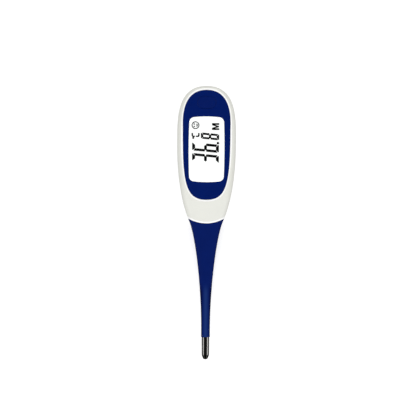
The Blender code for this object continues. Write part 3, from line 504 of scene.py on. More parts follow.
def turned_steel(name, colour, roughness, period):
    """Drawn steel with fine rings round the stem's axis, and a painted dark reflection on its nose."""
    made = surface(name, colour, roughness, 1.0, spread=0.2, grain=3000.0, bump=0.001, stretch=(1, 0.15, 1))
    tree = made.node_tree
    rings = node(tree, "TexWave", Vector=object_place(tree), Scale=1.0 / period, Distortion=0.6)
    rings.wave_type = "BANDS"
    rings.bands_direction = "Y"
    normal = tree.nodes["Principled BSDF"].inputs["Normal"]
    cut = node(tree, "Bump", Strength=0.1, Distance=0.0008 * MM, Height=rings.outputs["Fac"],
               Normal=normal.links[0].from_socket)
    tree.links.new(cut.outputs["Normal"], normal)
    # painted dark reflection on the nose
    repaint(tree, fade(tree, object_axes(tree)[1], *NOSE_DARK_REFLECTION_FADE), NOSE_DARK_REFLECTION_GREY)
    return made


def stem_skin(name):
    """Soft matt navy elastomer, with a painted highlight of paler blue along the crown of its slim part and
    painted shade of darker blue down its sides.
    """
    made = surface(name, NAVY, 0.5, bump=0.008, grain=5000.0, Specular_IOR_Level=0.04)
    tree = made.node_tree
    x, y, z = object_axes(tree)
    across = calc(tree, "ABSOLUTE", x)
    slim = fade(tree, y, *SLIM_PAINTED_LIGHT_FROM)
    crown_highlight_share = calc(tree, "MULTIPLY", slim, fade(tree, z, MID, MID + CROWN_HIGHLIGHT_RISE))
    # painted highlight along the top of the crown
    repaint(tree, calc(tree, "MULTIPLY", crown_highlight_share, fade(tree, across, *CROWN_HIGHLIGHT_SPREAD)), CROWN_HIGHLIGHT_BLUE)
    # painted shade down the sides
    repaint(tree, calc(tree, "MULTIPLY", slim, fade(tree, across, *FLANK_SHADE_SPREAD)), FLANK_SHADE_BLUE)
    return made


def lit_display(name):
    """The lit ground of the display, with faint clouds of a cooler, dimmer white."""
    made, tree = new_material(name)
    clouds = node(tree, "TexNoise", Vector=object_place(tree), Scale=90.0).outputs["Fac"]
    light = ramp(tree, clouds, ((0.3, (0.965, 0.985, 0.97)), (0.7, (0.995, 1.0, 0.99))))
    ground = ramp(tree, clouds, ((0.0, (0.30, 0.32, 0.30)), (1.0, (0.34, 0.36, 0.34))))
    set_inputs(tree, tree.nodes["Principled BSDF"], Base_Color=ground, Roughness=0.3, Emission_Color=light,
               Emission_Strength=1.12)
    return made


SHELL_WHITE = shell_white("white_shell")
FACE_BLUE = surface("blue_face", NAVY, 0.12, bump=0.003, grain=9000.0, Specular_IOR_Level=0.3)
BUTTON_BLUE = surface("blue_button", NAVY, 0.15, bump=0.004, grain=9000.0, Specular_IOR_Level=0.3)
SKIN_BLUE = stem_skin("blue_elastomer")
LENS_CLEAR = surface("clear_lens", (0.985, 0.99, 0.99), 0.02, variation=0.004, spread=0.5, bump=0.0005,
                     Transmission_Weight=1.0, IOR=1.49)
DISPLAY_LIT = lit_display("lit_display")
MARK_BLACK = surface("display_marks", (0.004, 0.004, 0.005), 0.5, variation=0.2, bump=0.001)
MARK_GREY = surface("display_face_mark", (0.21, 0.21, 0.21), 0.5, bump=0.001)
CAP_STEEL = turned_steel("probe_steel", (0.62, 0.61, 0.59), 0.13, 0.12 * MM)
LEAD_COLOURS = {"left": surface("lead_white", (0.75, 0.75, 0.72), 0.5),
                "right": surface("lead_red", (0.45, 0.03, 0.02), 0.5, variation=0.12)}

# the finishes of the CAD nodes that stay as they are
CAD_FINISHES = (
    (surface("display_glass", (0.90, 0.93, 0.92), 0.05, variation=0.01, bump=0.0005, Transmission_Weight=0.9),
     ("lcd_front_glass", "lcd_rear_glass")),
    (surface("light_guide_acrylic", (0.94, 0.95, 0.95), 0.18, variation=0.01, bump=0.01, grain=2500.0,
             Transmission_Weight=0.5), ("light_guide",)),
    (surface("led_body", (0.90, 0.88, 0.62), 0.4, variation=0.08), ("backlight_led",)),
    (surface("frame_plastic", (0.75, 0.75, 0.73), 0.5, variation=0.03), ("lcd_frame",)),
    (surface("zebra_rubber", (0.07, 0.07, 0.07), 0.8, variation=0.5, cloud=3000.0, stretch=(0.2, 3.0, 0.2)),
     ("zebra_strip_left", "zebra_strip_right")),
    (surface("board_laminate", (0.02, 0.16, 0.06), 0.4, variation=0.25, cloud=900.0, bump=0.01),
     ("circuit_board",)),
    (surface("chip_package", (0.02, 0.02, 0.021), 0.5, variation=0.15), ("controller_chip",)),
    (surface("ceramic_part", (0.50, 0.38, 0.25), 0.55, variation=0.15),
     ("capacitor_1", "capacitor_2", "resistor_1", "resistor_2")),
    (surface("switch_plastic", (0.03, 0.03, 0.032), 0.45, variation=0.1), ("switch_base", "switch_plunger")),
    (surface("cell_steel", (0.70, 0.70, 0.68), 0.26, 1.0, variation=0.06, spread=0.25, grain=2500.0,
             bump=0.004, stretch=(1.0, 0.1, 1.0)), ("battery_cell",)),
    (surface("spring_steel", (0.62, 0.62, 0.60), 0.28, 1.0, variation=0.08),
     ("battery_contact_positive", "battery_contact_negative", "buzzer_spring_1", "buzzer_spring_2")),
    (surface("screw_steel", (0.55, 0.55, 0.56), 0.32, 1.0, variation=0.08, grain=8000.0, bump=0.004),
     ("board_screw_1", "board_screw_2", "board_screw_3", "door_screw_1", "door_screw_2")),
    (surface("brass_disc", (0.72, 0.52, 0.20), 0.32, 1.0, variation=0.08), ("buzzer_disc",)),
    (surface("piezo_ceramic", (0.84, 0.83, 0.79), 0.55, variation=0.04), ("buzzer_ceramic",)),
    (surface("seal_rubber", (0.33, 0.33, 0.34), 0.8, variation=0.1, bump=0.01), ("door_seal", "buzzer_ring")),
    (surface("core_plastic", (0.60, 0.60, 0.58), 0.5, variation=0.04), ("neck_core",)),
    (surface("resin", (0.10, 0.08, 0.06), 0.35, variation=0.2), ("tip_potting", "thermistor_bead")),
)


def dress(piece, material):
    piece.data.materials.clear()
    piece.data.materials.append(material)


def finish(piece, material):
    dress(piece, material)


for material, node_names in CAD_FINISHES:
    for node_name in node_names:
        dress(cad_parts[node_name], material)


# ---- shells ----

CORNER_SPAN = (-2.0 * MM, 8.0 * MM)
RINGS = 30  # rings from the parting line to the flat
CREEP = 2.8  # power that crowds those rings where the flank is steep
PARTING = 0.03 * MM  # half of the hairline gap between the shells
LIP = 0.07 * MM  # the small bevel on either side of that gap
HEAD_CENTRE = 48.0 * MM
HEAD_OVERLAP = 3.0 * MM
HEAD_POINTS, FLANK_POINTS, NECK_POINTS = 44, 52, 26
NECK_CROWDING = (0.8, 1.3)  # powers that spread the neck's points on the outer and inner outline
CAVITY_SHRINKS = (0.06, 0.3, 0.55, 0.75, 0.88, 0.95, 1.0)
CAVITY_SPINE = (18.0 * MM, 50.0 * MM)  # the line in the middle that the cavity's rings shrink to
# heights that cut right through the front, the back and the door
THROUGH_FRONT = (9.0 * MM, 15.0 * MM)
THROUGH_BACK = (0.5 * MM, 9.0 * MM)
THROUGH_DOOR = (-1.0 * MM, 1.3 * MM)
FACE_GAP = 0.12 * MM
WINDOW_GAP = 0.3 * MM
KEY_WELL_GAP = 0.25 * MM
DOOR_GAP = 0.15 * MM
OVERLAP = 0.3 * MM  # how far a boss sinks into the wall it stands on
PILOT_RADIUS = 0.8 * MM
NOTCH_X = -10.3 * MM
NOTCH_HALF = (1.3 * MM, 2.1 * MM)
NOTCH_CORNER = 0.2 * MM
NOTCH_Z = (2.2 * MM, 9.0 * MM)
MOUTH_Y = (6.5 * MM, -3.0 * MM)
MOUTH_POINTS = 64
MOUTH_BOUND = (20.0 * MM, -6.0 * MM, 10.0 * MM, 1.0 * MM)  # wider and longer than the mouth
MOUTH_OVERLAP = 0.5 * MM  # how far each shell's cut goes past the parting plane


def corner_of_neck():
    """Where the neck arc meets the flank: (x, y)."""
    y = np.linspace(*CORNER_SPAN, 4000)
    x = half_width(y)
    gap = x ** 2 + (y - NECK_ARC_Y) ** 2 - NECK_ARC_RADIUS ** 2
    k = np.argmin(np.abs(gap))
    return x[k], y[k]


CORNER = corner_of_neck()
KEY_YS = (HEAD_CENTRE, 26 * MM, 14 * MM, CORNER[1])  # heights on the flank that meet the inner outline
FACE_KEY_YS = (HEAD_CENTRE, 27 * MM, 17.5 * MM, 12.3 * MM)  # at these heights on the face
DOOR_KEY_SHARES = (0.68, 0.78, 0.86)  # or, below the first, at these shares of the door's recess


def polar(points, angles):
    """Points of a head outline at given angles about the head's centre."""
    points = points[points[:, 1] > HEAD_CENTRE - HEAD_OVERLAP]
    a = np.arctan2(points[:, 1] - HEAD_CENTRE, points[:, 0])
    order = np.argsort(a)
    return np.column_stack([np.interp(angles, a[order], points[order, k]) for k in (0, 1)])


def paired_loops(inner_right, keys):
    """The body's plan and an inner outline, point by point: head by angle, flank by Y and the neck arc last.

    The keys are the shares of the inner outline's length that the heights KEY_YS on the flank meet.
    """
    angles = np.radians(np.linspace(90, 0, HEAD_POINTS))
    flank_y = np.linspace(HEAD_CENTRE, CORNER[1], FLANK_POINTS)[1:]
    flank_outer = np.column_stack([half_width(flank_y), flank_y])
    flank_outer[-1] = CORNER
    shares = np.interp(-flank_y, -np.array(KEY_YS), keys)
    turn = np.linspace(0, 1, NECK_POINTS)[1:]
    lean = np.arcsin(CORNER[0] / NECK_ARC_RADIUS) * np.cos(turn * math.pi / 2) ** NECK_CROWDING[0]
    lean[-1] = 0.0
    neck_outer = NECK_ARC_RADIUS * np.column_stack([np.sin(lean), -np.cos(lean)]) + (0.0, NECK_ARC_Y)
    neck_inner = along(inner_right, shares[-1] + (1 - shares[-1]) * turn ** NECK_CROWDING[1])
    outer = np.vstack([polar(BODY, angles), flank_outer, neck_outer])
    inner = np.vstack([polar(inner_right, angles), along(inner_right, shares), neck_inner])
    outer[0, 0] = inner[0, 0] = outer[-1, 0] = inner[-1, 0] = 0.0
    return mirrored(outer), mirrored(inner)


def with_height(loop, z):
    return np.column_stack([loop, np.broadcast_to(z, len(loop))])


def shell(name, side, inner_right, keys, softness, floor, edge, cavity, hollow):
    """Half of the housing as one closed body: cavity, rim, outside and the recess that is let into it.

    The side is 1 for the front and -1 for the back. Softness rounds the turn from flank to flat and edge
    the turn into the recess. Hollow is the cavity's share of the body's height, up to its ceiling.
    """
    outer, inner = paired_loops(inner_right, keys)
    rings = []
    lining = offset(outer, -WALL)
    middle_y = np.clip(lining[:, 1], *CAVITY_SPINE)
    for shrink in CAVITY_SHRINKS:
        x = lining[:, 0] * shrink
        y = middle_y + (lining[:, 1] - middle_y) * shrink
        high = np.minimum(cavity, hollow * rise(x, y))
        rings.append(np.column_stack([x, y, MID + side * high]))
    rings.append(with_height(lining, MID + side * PARTING))
    rings.append(with_height(offset(outer, -LIP), MID + side * PARTING))
    for v in np.linspace(0, 1, RINGS + 1):
        plan = outer + (inner - outer) * v ** CREEP
        x, y = plan.T
        z = soft_min(rise(x, y), MID, softness)
        if v == 0:
            z = np.maximum(rise(x, y), LIP)
            z[z > LIP] = soft_min(z[z > LIP], MID, softness)
        rings.append(np.column_stack([plan, MID + side * z]))
    last = rings[-1][:, 2]
    for turn in np.array([0.3, 0.7, 1.0]) * math.pi / 2:
        shrunk = offset(inner, -edge * math.sin(turn))
        rings.append(np.column_stack([shrunk, last - side * edge * (1 - math.cos(turn))]))
    rings.append(with_height(offset(inner, -edge), floor))
    return skin_rings(name, rings)


def body_ring(y, inset, count, bend=None):
    """A cross section of the body. bend(x) moves each point along Y to follow the neck arc."""
    angles = 2 * math.pi * (np.arange(count) + 0.5) / count
    c, s = np.cos(angles), np.sin(angles)
    ys = np.full(count, y)
    for _ in range(8):
        power = 2 / exponent(ys)
        x = (half_width(ys) - inset) * np.sign(c) * np.abs(c) ** power
        if bend is None:
            break
        ys = bend(x)
    z = (half_depth(ys) - inset) * np.sign(s) * np.abs(s) ** power
    return np.column_stack([x, ys, MID + z])


def mouth_cutter(zs):
    """Opens the shell's neck for the stem's socket, between two heights."""
    rings = [body_ring(y, MOUTH_WALL, MOUTH_POINTS) for y in np.linspace(*MOUTH_Y, 12)]
    bound = plate("cut_mouth_bound", [rectangle(*MOUTH_BOUND)], zs)
    return combine(skin_rings("cut_mouth", rings), [bound], "INTERSECT")


def build_front_shell():
    face = FACE[::8]
    inner = offset(mirrored(face), FACE_GAP)[:len(face)]
    inner[0, 0] = inner[-1, 0] = 0.0
    keys = [share_at(inner, y) for y in FACE_KEY_YS]
    made = shell("shell_front", 1, inner, keys, softness=0.5 * MM, floor=RECESS_FLOOR, edge=0.1 * MM,
                 cavity=CAVITY_CEILING - MID, hollow=0.72)
    well = pill(BUTTON_Y, BUTTON_REACH, BUTTON_RADIUS + KEY_WELL_GAP)
    tools = [plate("cut_window", [window_outline(WINDOW_GAP)], THROUGH_FRONT),
             plate("cut_button", [well], THROUGH_FRONT), mouth_cutter((MID - MOUTH_OVERLAP, CAVITY_CEILING))]
    made = combine(made, tools, "DIFFERENCE")
    finish(made, SHELL_WHITE)
    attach(made, "housing")
    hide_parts("front_shell")


def build_back_shell():
    recess = pill(CELL_Y, DOOR_REACH, DOOR_RADIUS + DOOR_GAP, True, 48)
    right = recess[recess[:, 0] > -1e-9]
    right = right[np.argsort(-np.arctan2(right[:, 1] - CELL_Y, right[:, 0]))]
    right = along(right, np.linspace(0.0, 1.0, 400))
    keys = (share_at(right, HEAD_CENTRE), *DOOR_KEY_SHARES)
    made = shell("shell_back", -1, right, keys, softness=1.0 * MM, floor=DOOR_RECESS, edge=0.12 * MM,
                 cavity=MID - CAVITY_FLOOR, hollow=0.8)
    boss_z = (CAVITY_FLOOR - OVERLAP, BOSS_TOP)
    walls = [rod("cell_wall", CELL_Y, boss_z, CELL_WALL_RADIUS[1], 96)]
    walls += [rod("door_boss_%d" % k, y, boss_z, BOSS_RADIUS, 32) for k, y in enumerate(DOOR_SCREW_Y)]
    made = combine(made, walls, "UNION")
    holes = [rod("cell_opening", CELL_Y, THROUGH_BACK, CELL_WALL_RADIUS[0], 96)]
    holes += [rod("door_pilot_%d" % k, y, THROUGH_BACK, PILOT_RADIUS, 32) for k, y in enumerate(DOOR_SCREW_Y)]
    notch = rectangle(NOTCH_HALF[0], CELL_Y - NOTCH_HALF[1], CELL_Y + NOTCH_HALF[1], NOTCH_CORNER)
    holes.append(plate("contact_notch", [notch + (NOTCH_X, 0.0)], NOTCH_Z))
    holes.append(mouth_cutter((CAVITY_FLOOR, MID + MOUTH_OVERLAP)))
    made = combine(made, holes, "DIFFERENCE")
    finish(made, SHELL_WHITE)
    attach(made, "housing")
    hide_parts("back_shell")


# ---- face, lens, button and door ----

FACE_BEVEL = 0.22 * MM
KEY_GAP = 0.05 * MM
KEY_EDGE = 0.05 * MM
KEY_FLANGE = 0.75 * MM
KEY_DISH = 0.08 * MM
LENS_GAP = 0.06 * MM
LENS_SUNK = 0.15 * MM
LENS_BEVEL = 0.08 * MM
DOOR_BEVEL = 0.14 * MM
PLUG_SINK = 0.2 * MM
SCREW_HOLE_RADIUS = 1.6 * MM
GRIP_PITCH = 1.5 * MM
GRIP_REACH = 4.2 * MM
GRIP_STEP = 0.5 * MM  # by which each groove is shorter than the one nearer the middle
GRIP_RADIUS = 0.28 * MM
GRIP_DEPTH = 0.18 * MM


def build_face():
    hole = pill(BUTTON_Y, BUTTON_REACH, BUTTON_RADIUS + KEY_GAP)
    loops = [mirrored(FACE[::6]), window_outline(0.0), hole]
    panel = plate("face_plate", loops, (PANEL_BACK, FACE_TOP), FACE_BEVEL)
    finish(panel, FACE_BLUE)
    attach(panel, "housing")
    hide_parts("face_panel")
    lens_z = (PANEL_BACK, FACE_TOP - LENS_SUNK)
    lens = plate("display_window", [window_outline(-LENS_GAP)], lens_z, LENS_BEVEL)
    finish(lens, LENS_CLEAR)
    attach(lens, "housing")
    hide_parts("window_lens")


def build_button():
    """The key is one body: a flange below the face and a cap with a shallow dish on top."""
    outline = pill(BUTTON_Y, BUTTON_REACH, BUTTON_RADIUS, steps=40)
    flange = pill(BUTTON_Y, BUTTON_REACH, BUTTON_RADIUS + KEY_FLANGE, steps=40)
    rings = [with_height(flange, BUTTON_FLANGE_Z[0]), with_height(flange, BUTTON_FLANGE_Z[1]),
             with_height(outline, BUTTON_FLANGE_Z[1])]
    for turn in np.linspace(0, math.pi / 2, 6):
        shrunk = offset(outline, -KEY_EDGE * (1 - math.cos(turn)))
        rings.append(with_height(shrunk, FACE_TOP - KEY_EDGE + KEY_EDGE * math.sin(turn)))
    start = rings[-1][:, :2]
    spine = np.clip(start, (-BUTTON_REACH, BUTTON_Y), (BUTTON_REACH, BUTTON_Y))
    for shrink in np.linspace(0.95, 0.03, 14):
        plan = spine + (start - spine) * shrink
        rings.append(with_height(plan, FACE_TOP - KEY_DISH * (1 - shrink ** 2) ** 1.5))
    made = skin_rings("power_key", rings)
    finish(made, BUTTON_BLUE)
    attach(made, "button")
    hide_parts("power_button")


def build_door():
    door = plate("battery_lid", [pill(CELL_Y, DOOR_REACH, DOOR_RADIUS, True, 64)], DOOR_Z, DOOR_BEVEL)
    plug = rod("door_plug", CELL_Y, (DOOR_Z[1] - PLUG_SINK, DOOR_PLUG_TOP), DOOR_PLUG_RADIUS, 96)
    door = combine(door, [plug], "UNION")
    cuts = [rod("screw_hole_%d" % k, y, THROUGH_DOOR, SCREW_HOLE_RADIUS, 48)
            for k, y in enumerate(DOOR_SCREW_Y)]
    for k in range(-2, 3):
        groove = pill(CELL_Y + k * GRIP_PITCH, GRIP_REACH - abs(k) * GRIP_STEP, GRIP_RADIUS, steps=12)
        cuts.append(plate("grip_%d" % (k + 2), [groove], (THROUGH_DOOR[0], DOOR_Z[0] + GRIP_DEPTH)))
    door = combine(door, cuts, "DIFFERENCE")
    finish(door, SHELL_WHITE)
    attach(door, "battery_cover")
    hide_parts("battery_door")


# ---- display ----

SHEET_CORNER = 0.6 * MM
SHEET_BEVEL = 0.03 * MM
MARK_Z = (10.10 * MM, 10.14 * MM)
SLANT = math.tan(math.radians(5.3))
BIG_BASELINE_X = 5.82 * MM
SMALL_BASELINE_X = 5.92 * MM
SEGMENTS = {"3": "abgcd", "6": "afgecd", "8": "abcdefg"}
# each figure's baseline, foot, width, height and how deep its end bars are
FIGURES = {
    "3": (BIG_BASELINE_X, 28.55 * MM, 3.72 * MM, 12.6 * MM, 1.42 * MM),
    "6": (BIG_BASELINE_X, 33.45 * MM, 4.0 * MM, 12.6 * MM, 1.42 * MM),
    "8": (SMALL_BASELINE_X, 39.5 * MM, 3.0 * MM, 8.6 * MM, 1.15 * MM),
}
POINT = (SMALL_BASELINE_X - 0.55 * MM, 38.2 * MM, 0.62 * MM)  # the decimal point's centre and radius
LETTER_FOOT = 44.5 * MM
LETTER_M = ((0, 0), (0.85, 0), (0.85, 1.9), (1.36, 0.1), (1.94, 0.1), (2.45, 1.9), (2.45, 0), (3.3, 0),
            (3.3, 3.4), (2.25, 3.4), (1.65, 1.5), (1.05, 3.4), (0, 3.4))
DEGREE = (-6.3 * MM, 40.65 * MM, 0.26 * MM, 0.5 * MM)  # a ring's centre, radius and stroke
UNIT_CENTRE = (-5.2 * MM, 41.42 * MM)
UNIT_REACH = 1.55 * MM
UNIT_BEND = 0.5 * MM
UNIT_TOP = 1.6 * MM
UNIT_GAPS = ((-1, 0.3 * MM), (1, 0.12 * MM))  # each half of the C, and how far it stops from the middle
UNIT_STROKE = 0.7 * MM
SMILE_CENTRE = (-5.25 * MM, 46.75 * MM)
SMILE_RING = (1.62 * MM, 0.46 * MM)  # radius and stroke
SMILE_EYE = ((-0.9 * MM, -0.25 * MM), 0.55 * MM)  # an eye's two ends along X, and how far it stands aside
EYE_STROKE = 0.6 * MM
SMILE_RADIUS = 0.80 * MM
SMILE_HALF_ANGLE = 54
SMILE_STROKE = 0.55 * MM


def mark(bm, outline):
    """One closed plate of the display's print from its outline in (X, Y)."""
    low, high = [[bm.verts.new((x, y, z)) for x, y in outline] for z in MARK_Z]
    bm.faces.new(low)
    bm.faces.new(high)
    join_loops(bm, low, high)


def upright(points, baseline_x, foot_y, slant=SLANT):
    """Figures read along +Y and stand towards -X: (across, up) to (X, Y), leaning over with their slant."""
    return [(baseline_x - up, foot_y + across + up * slant) for across, up in points]


def figure(bm, character, baseline_x, foot_y, w, h, t):
    """A seven-bar figure, w wide and h high, with mitred bars and thin gaps between them."""
    m, u = h / 2, 0.88 * t
    start, end = (0.12 * t if character == "3" else 0.5 * t), w - 0.55 * t
    shapes = {
        "a": ((0.2 * t, h), (w - 0.2 * t, h), (w - 0.2 * t, h - 0.26 * t), (w - 0.86 * t, h - t),
              (0.86 * t, h - t), (0.2 * t, h - 0.26 * t)),
        "b": ((w - 0.1 * t, h - 0.42 * t), (w, h - 0.75 * t), (w, m + 0.34 * t), (w - u / 2, m + 0.12 * t),
              (w - u, m + 0.4 * t), (w - u, h - 1.05 * t)),
        "g": ((start, m), (start + 0.3 * t, m + 0.46 * t), (end - 0.3 * t, m + 0.46 * t), (end, m),
              (end - 0.3 * t, m - 0.46 * t), (start + 0.3 * t, m - 0.46 * t)),
    }
    shapes["c"] = [(x, h - y) for x, y in shapes["b"]]
    shapes["d"] = [(x, h - y) for x, y in shapes["a"]]
    shapes["f"] = [(w - x, y) for x, y in shapes["b"]]
    shapes["e"] = [(w - x, h - y) for x, y in shapes["b"]]
    for letter in SEGMENTS[character]:
        mark(bm, upright(shapes[letter], baseline_x, foot_y))


def stroke_along(bm, path, width):
    """A band of even width along an open path in (X, Y)."""
    points = np.array(path)
    tangents = np.gradient(points, axis=0)
    tangents /= np.linalg.norm(tangents, axis=1)[:, None]
    side = np.column_stack([-tangents[:, 1], tangents[:, 0]]) * width / 2
    mark(bm, np.vstack([points + side, (points - side)[::-1]]))


def ring_mark(bm, centre_x, centre_y, radius, stroke, steps):
    """A whole ring as one closed band."""
    outer, inner = radius + stroke / 2, radius - stroke / 2
    loops = []
    for reach, z in ((outer, MARK_Z[0]), (outer, MARK_Z[1]), (inner, MARK_Z[1]), (inner, MARK_Z[0])):
        around = arc(centre_x, centre_y, reach, 0, 360, steps)[:-1]
        loops.append([bm.verts.new((x, y, z)) for x, y in around])
    for low, high in zip(loops, loops[1:] + loops[:1]):
        join_loops(bm, low, high)


def build_display():
    foot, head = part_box("lcd_polariser")
    outline = rectangle(head.x, foot.y, head.y, SHEET_CORNER)
    sheet = plate("display_sheet", [outline], (foot.z, head.z), SHEET_BEVEL)
    finish(sheet, DISPLAY_LIT)
    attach(sheet, "housing")
    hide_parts("lcd_polariser")

    bm = bmesh.new()
    for character, place in FIGURES.items():
        figure(bm, character, *place)
    mark(bm, arc(*POINT, 0, 337.5, 15))
    mark(bm, upright(np.array(LETTER_M) * MM, SMALL_BASELINE_X, LETTER_FOOT, 0.0))
    corner = arc(UNIT_REACH - UNIT_BEND, UNIT_BEND, UNIT_BEND, 0, -90, 6)
    for side, gap in UNIT_GAPS:
        path = np.vstack([[(UNIT_REACH, UNIT_TOP)], corner, [(gap, 0.0)]])
        stroke_along(bm, path * (side, 1.0) + UNIT_CENTRE, UNIT_STROKE)
    ring_mark(bm, *DEGREE, 14)
    marks = from_bmesh("display_figures", bm)
    finish(marks, MARK_BLACK)
    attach(marks, "housing")

    bm = bmesh.new()
    ring_mark(bm, *SMILE_CENTRE, *SMILE_RING, 48)
    ends, aside = SMILE_EYE
    for side in (-1, 1):
        eye = [(SMILE_CENTRE[0] + end, SMILE_CENTRE[1] + side * aside) for end in ends]
        stroke_along(bm, eye, EYE_STROKE)
    smile = arc(*SMILE_CENTRE, SMILE_RADIUS, -SMILE_HALF_ANGLE, SMILE_HALF_ANGLE, 10)
    stroke_along(bm, smile, SMILE_STROKE)
    face = from_bmesh("display_smile", bm)
    finish(face, MARK_GREY)
    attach(face, "housing")


# ---- stem, leads and steel cap ----

STEM_POINTS = 64
STATION = 0.5 * MM
NECK_FLAT_Y = -7.0 * MM  # below this the stem's sections no longer follow the neck arc
NECK_GAP = 0.1 * MM
STEM_LIP = 0.12 * MM
STEM_TUCK = 0.3 * MM  # inset of the stem's head behind its lip
STEM_RIM = 0.25 * MM
SOCKET_GAP = 0.05 * MM
SOCKET_END = SHANK_HEAD + 0.1 * MM
SEAMS = [(a + b) / 2 for a, b in zip(HINGE_YS, HINGE_YS[1:])]
LEAD_RADIUS = 0.25 * MM
LEAD_X = 0.45 * MM
LEAD_START = ((1.2 * MM, 12.2 * MM, 6.0 * MM), (1.1 * MM, 10.4 * MM, 6.0 * MM),
              (0.55 * MM, 8.0 * MM, MID - 0.15 * MM))  # the right lead, from its pad on the board
LEAD_BOUNDS = [6.0 * MM] + SEAMS + [-62.8 * MM]


def blend_over(piece):
    """Bakes the piece's transform into its mesh."""
    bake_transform(piece)


def stem_ring(share, inset):
    """Share 0 follows the neck arc, share 1 is a flat section."""
    def bend(x):
        edge = NECK_ARC_Y - np.sqrt((NECK_ARC_RADIUS + NECK_GAP) ** 2 - x ** 2)
        return edge * (1 - share) + NECK_FLAT_Y * share

    return body_ring(NECK_FLAT_Y, inset, STEM_POINTS, bend)


def stations(start, end):
    return np.linspace(start, end, max(2, math.ceil(abs(start - end) / STATION) + 1))


def skin_run(start, end, inset=0.0):
    return [body_ring(y, inset, STEM_POINTS) for y in stations(start, end)]


def bore_run(start, end, radius=STEM_BORE):
    angles = 2 * math.pi * (np.arange(STEM_POINTS) + 0.5) / STEM_POINTS
    x, z = radius * np.cos(angles), MID + radius * np.sin(angles)
    return [np.column_stack([x, np.full(STEM_POINTS, y), z]) for y in stations(start, end)]


def build_stem():
    """Four sleeves that meet halfway between the hinges, each over its own hinge."""
    root = [stem_ring(0.0, STEM_TUCK), stem_ring(0.0, STEM_LIP), stem_ring(0.006, STEM_LIP * 0.35)]
    root += [stem_ring(share, 0.0) for share in (0.016, *np.linspace(0.05, 1.0, 18))]
    root += skin_run(NECK_FLAT_Y, SEAMS[0])[1:] + bore_run(SEAMS[0], CORE_FOOT)
    root += skin_run(CORE_FOOT, NECK_FLAT_Y, MOUTH_WALL)
    root += [stem_ring(share, MOUTH_WALL) for share in np.linspace(1.0, 0.0, 8)[1:]]
    links = [skin_run(start, end) + bore_run(end, start) for start, end in zip(SEAMS, SEAMS[1:])]
    last = skin_run(SEAMS[2], STEM_END + STEM_RIM)
    for turn in np.array([0.35, 0.7, 1.0]) * math.pi / 2:
        y = STEM_END + STEM_RIM * (1 - math.sin(turn))
        last.append(body_ring(y, STEM_RIM * (1 - math.cos(turn)), STEM_POINTS))
    last += bore_run(STEM_END, SOCKET_END, SHANK_RADIUS + SOCKET_GAP) + bore_run(SOCKET_END, SEAMS[2])
    replaced = (("flex_stem_root", "flex_stem_link_1"), ("flex_stem_link_2",), ("flex_stem_link_3",),
                ("flex_stem_end",))
    for k, (rings, node_names) in enumerate(zip([root] + links + [last], replaced)):
        piece = skin_rings("stem_skin_%d" % (k + 1), rings, caps=False)
        finish(piece, SKIN_BLUE)
        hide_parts(*node_names)
        blend_over(piece)


def tube(name, path, radius, count=16):
    """A closed round tube along a path that runs mostly along Y."""
    points = np.array(path)
    rings = []
    angles = 2 * math.pi * np.arange(count) / count
    for point, tangent in zip(points, np.gradient(points, axis=0)):
        t = Vector(tangent).normalized()
        side = t.cross(Vector((0, 0, 1))).normalized()
        up = side.cross(t)
        rings.append([Vector(point) + side * (radius * math.cos(a)) + up * (radius * math.sin(a))
                      for a in angles])
    return skin_rings(name, rings)


def build_leads():
    for hand, side in (("left", -1), ("right", 1)):
        start = [(side * x, y, z) for x, y, z in LEAD_START]
        for k, (top, end) in enumerate(zip(LEAD_BOUNDS, LEAD_BOUNDS[1:])):
            run = [(side * LEAD_X, y, MID) for y in stations(top, end)]
            piece = tube("lead_%s_%d" % (hand, k + 1), start + run if k == 0 else run, LEAD_RADIUS)
            finish(piece, LEAD_COLOURS[hand])
            if k == 0:
                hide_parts("sensor_lead_%s" % hand)
            blend_over(piece)


NOSE_PROFILE = ((2.3, 1.80), (2.0, 1.75), (1.73, 1.64), (1.27, 1.46), (0.8, 1.26), (0.5, 1.10), (0.3, 0.98),
                (0.14, 0.76), (0.05, 0.46), (0.0, 0.0))  # height from the tip and radius, in millimetres
CAP_RADIUS = (CAP_BOX[1].x - CAP_BOX[0].x) / 2
CAP_STEP_Y = STEM_END - 0.04 * MM
CAP_STEP = 0.14 * MM
CAP_EASE = ((0.12 * MM, 0.0), (0.03 * MM, 0.05 * MM))  # the step's edge: in and down
CAP_WALL = 0.25 * MM
CAP_HOLLOW = 1.7 * MM  # height of the round end of the cap's hollow


def build_cap():
    """The drawn steel cap: shank inside the stem, a short step, a slight taper and a rounded nose."""
    heights, radii = np.array(NOSE_PROFILE[::-1]).T * MM
    nose, nose_radius = heights[-1], radii[-1]
    inner = SHANK_RADIUS - CAP_WALL
    taper_y = CAP_STEP_Y - CAP_STEP
    profile = [(SHANK_RADIUS, SHANK_HEAD), (SHANK_RADIUS, CAP_STEP_Y)]
    profile += [(CAP_RADIUS - inwards, CAP_STEP_Y - below) for inwards, below in CAP_EASE]
    profile.append((CAP_RADIUS, taper_y))
    profile += [(CAP_RADIUS + (nose_radius - CAP_RADIUS) * t, taper_y + (TIP_END + nose - taper_y) * t)
                for t in np.linspace(0.1, 1.0, 10)]
    reach = np.linspace(1.0, 0.02, 18)[1:] ** 1.5 * nose
    profile += [(np.interp(r, heights, radii), TIP_END + r) for r in reach]
    profile += [(0.0, TIP_END), (0.0, TIP_END + CAP_WALL)]
    profile += [(inner * math.cos(a), TIP_END + CAP_WALL + CAP_HOLLOW * (1 - math.sin(a)))
                for a in np.radians(np.linspace(78, 0, 8))]
    profile.append((inner, SHANK_HEAD))
    cap = turned("steel_tip", profile)
    finish(cap, CAP_STEEL)
    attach(cap, "sensor_tip")
    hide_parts("probe_cap")


# ---- studio ----

WHITE = (1.0, 1.0, 1.0, 1.0)
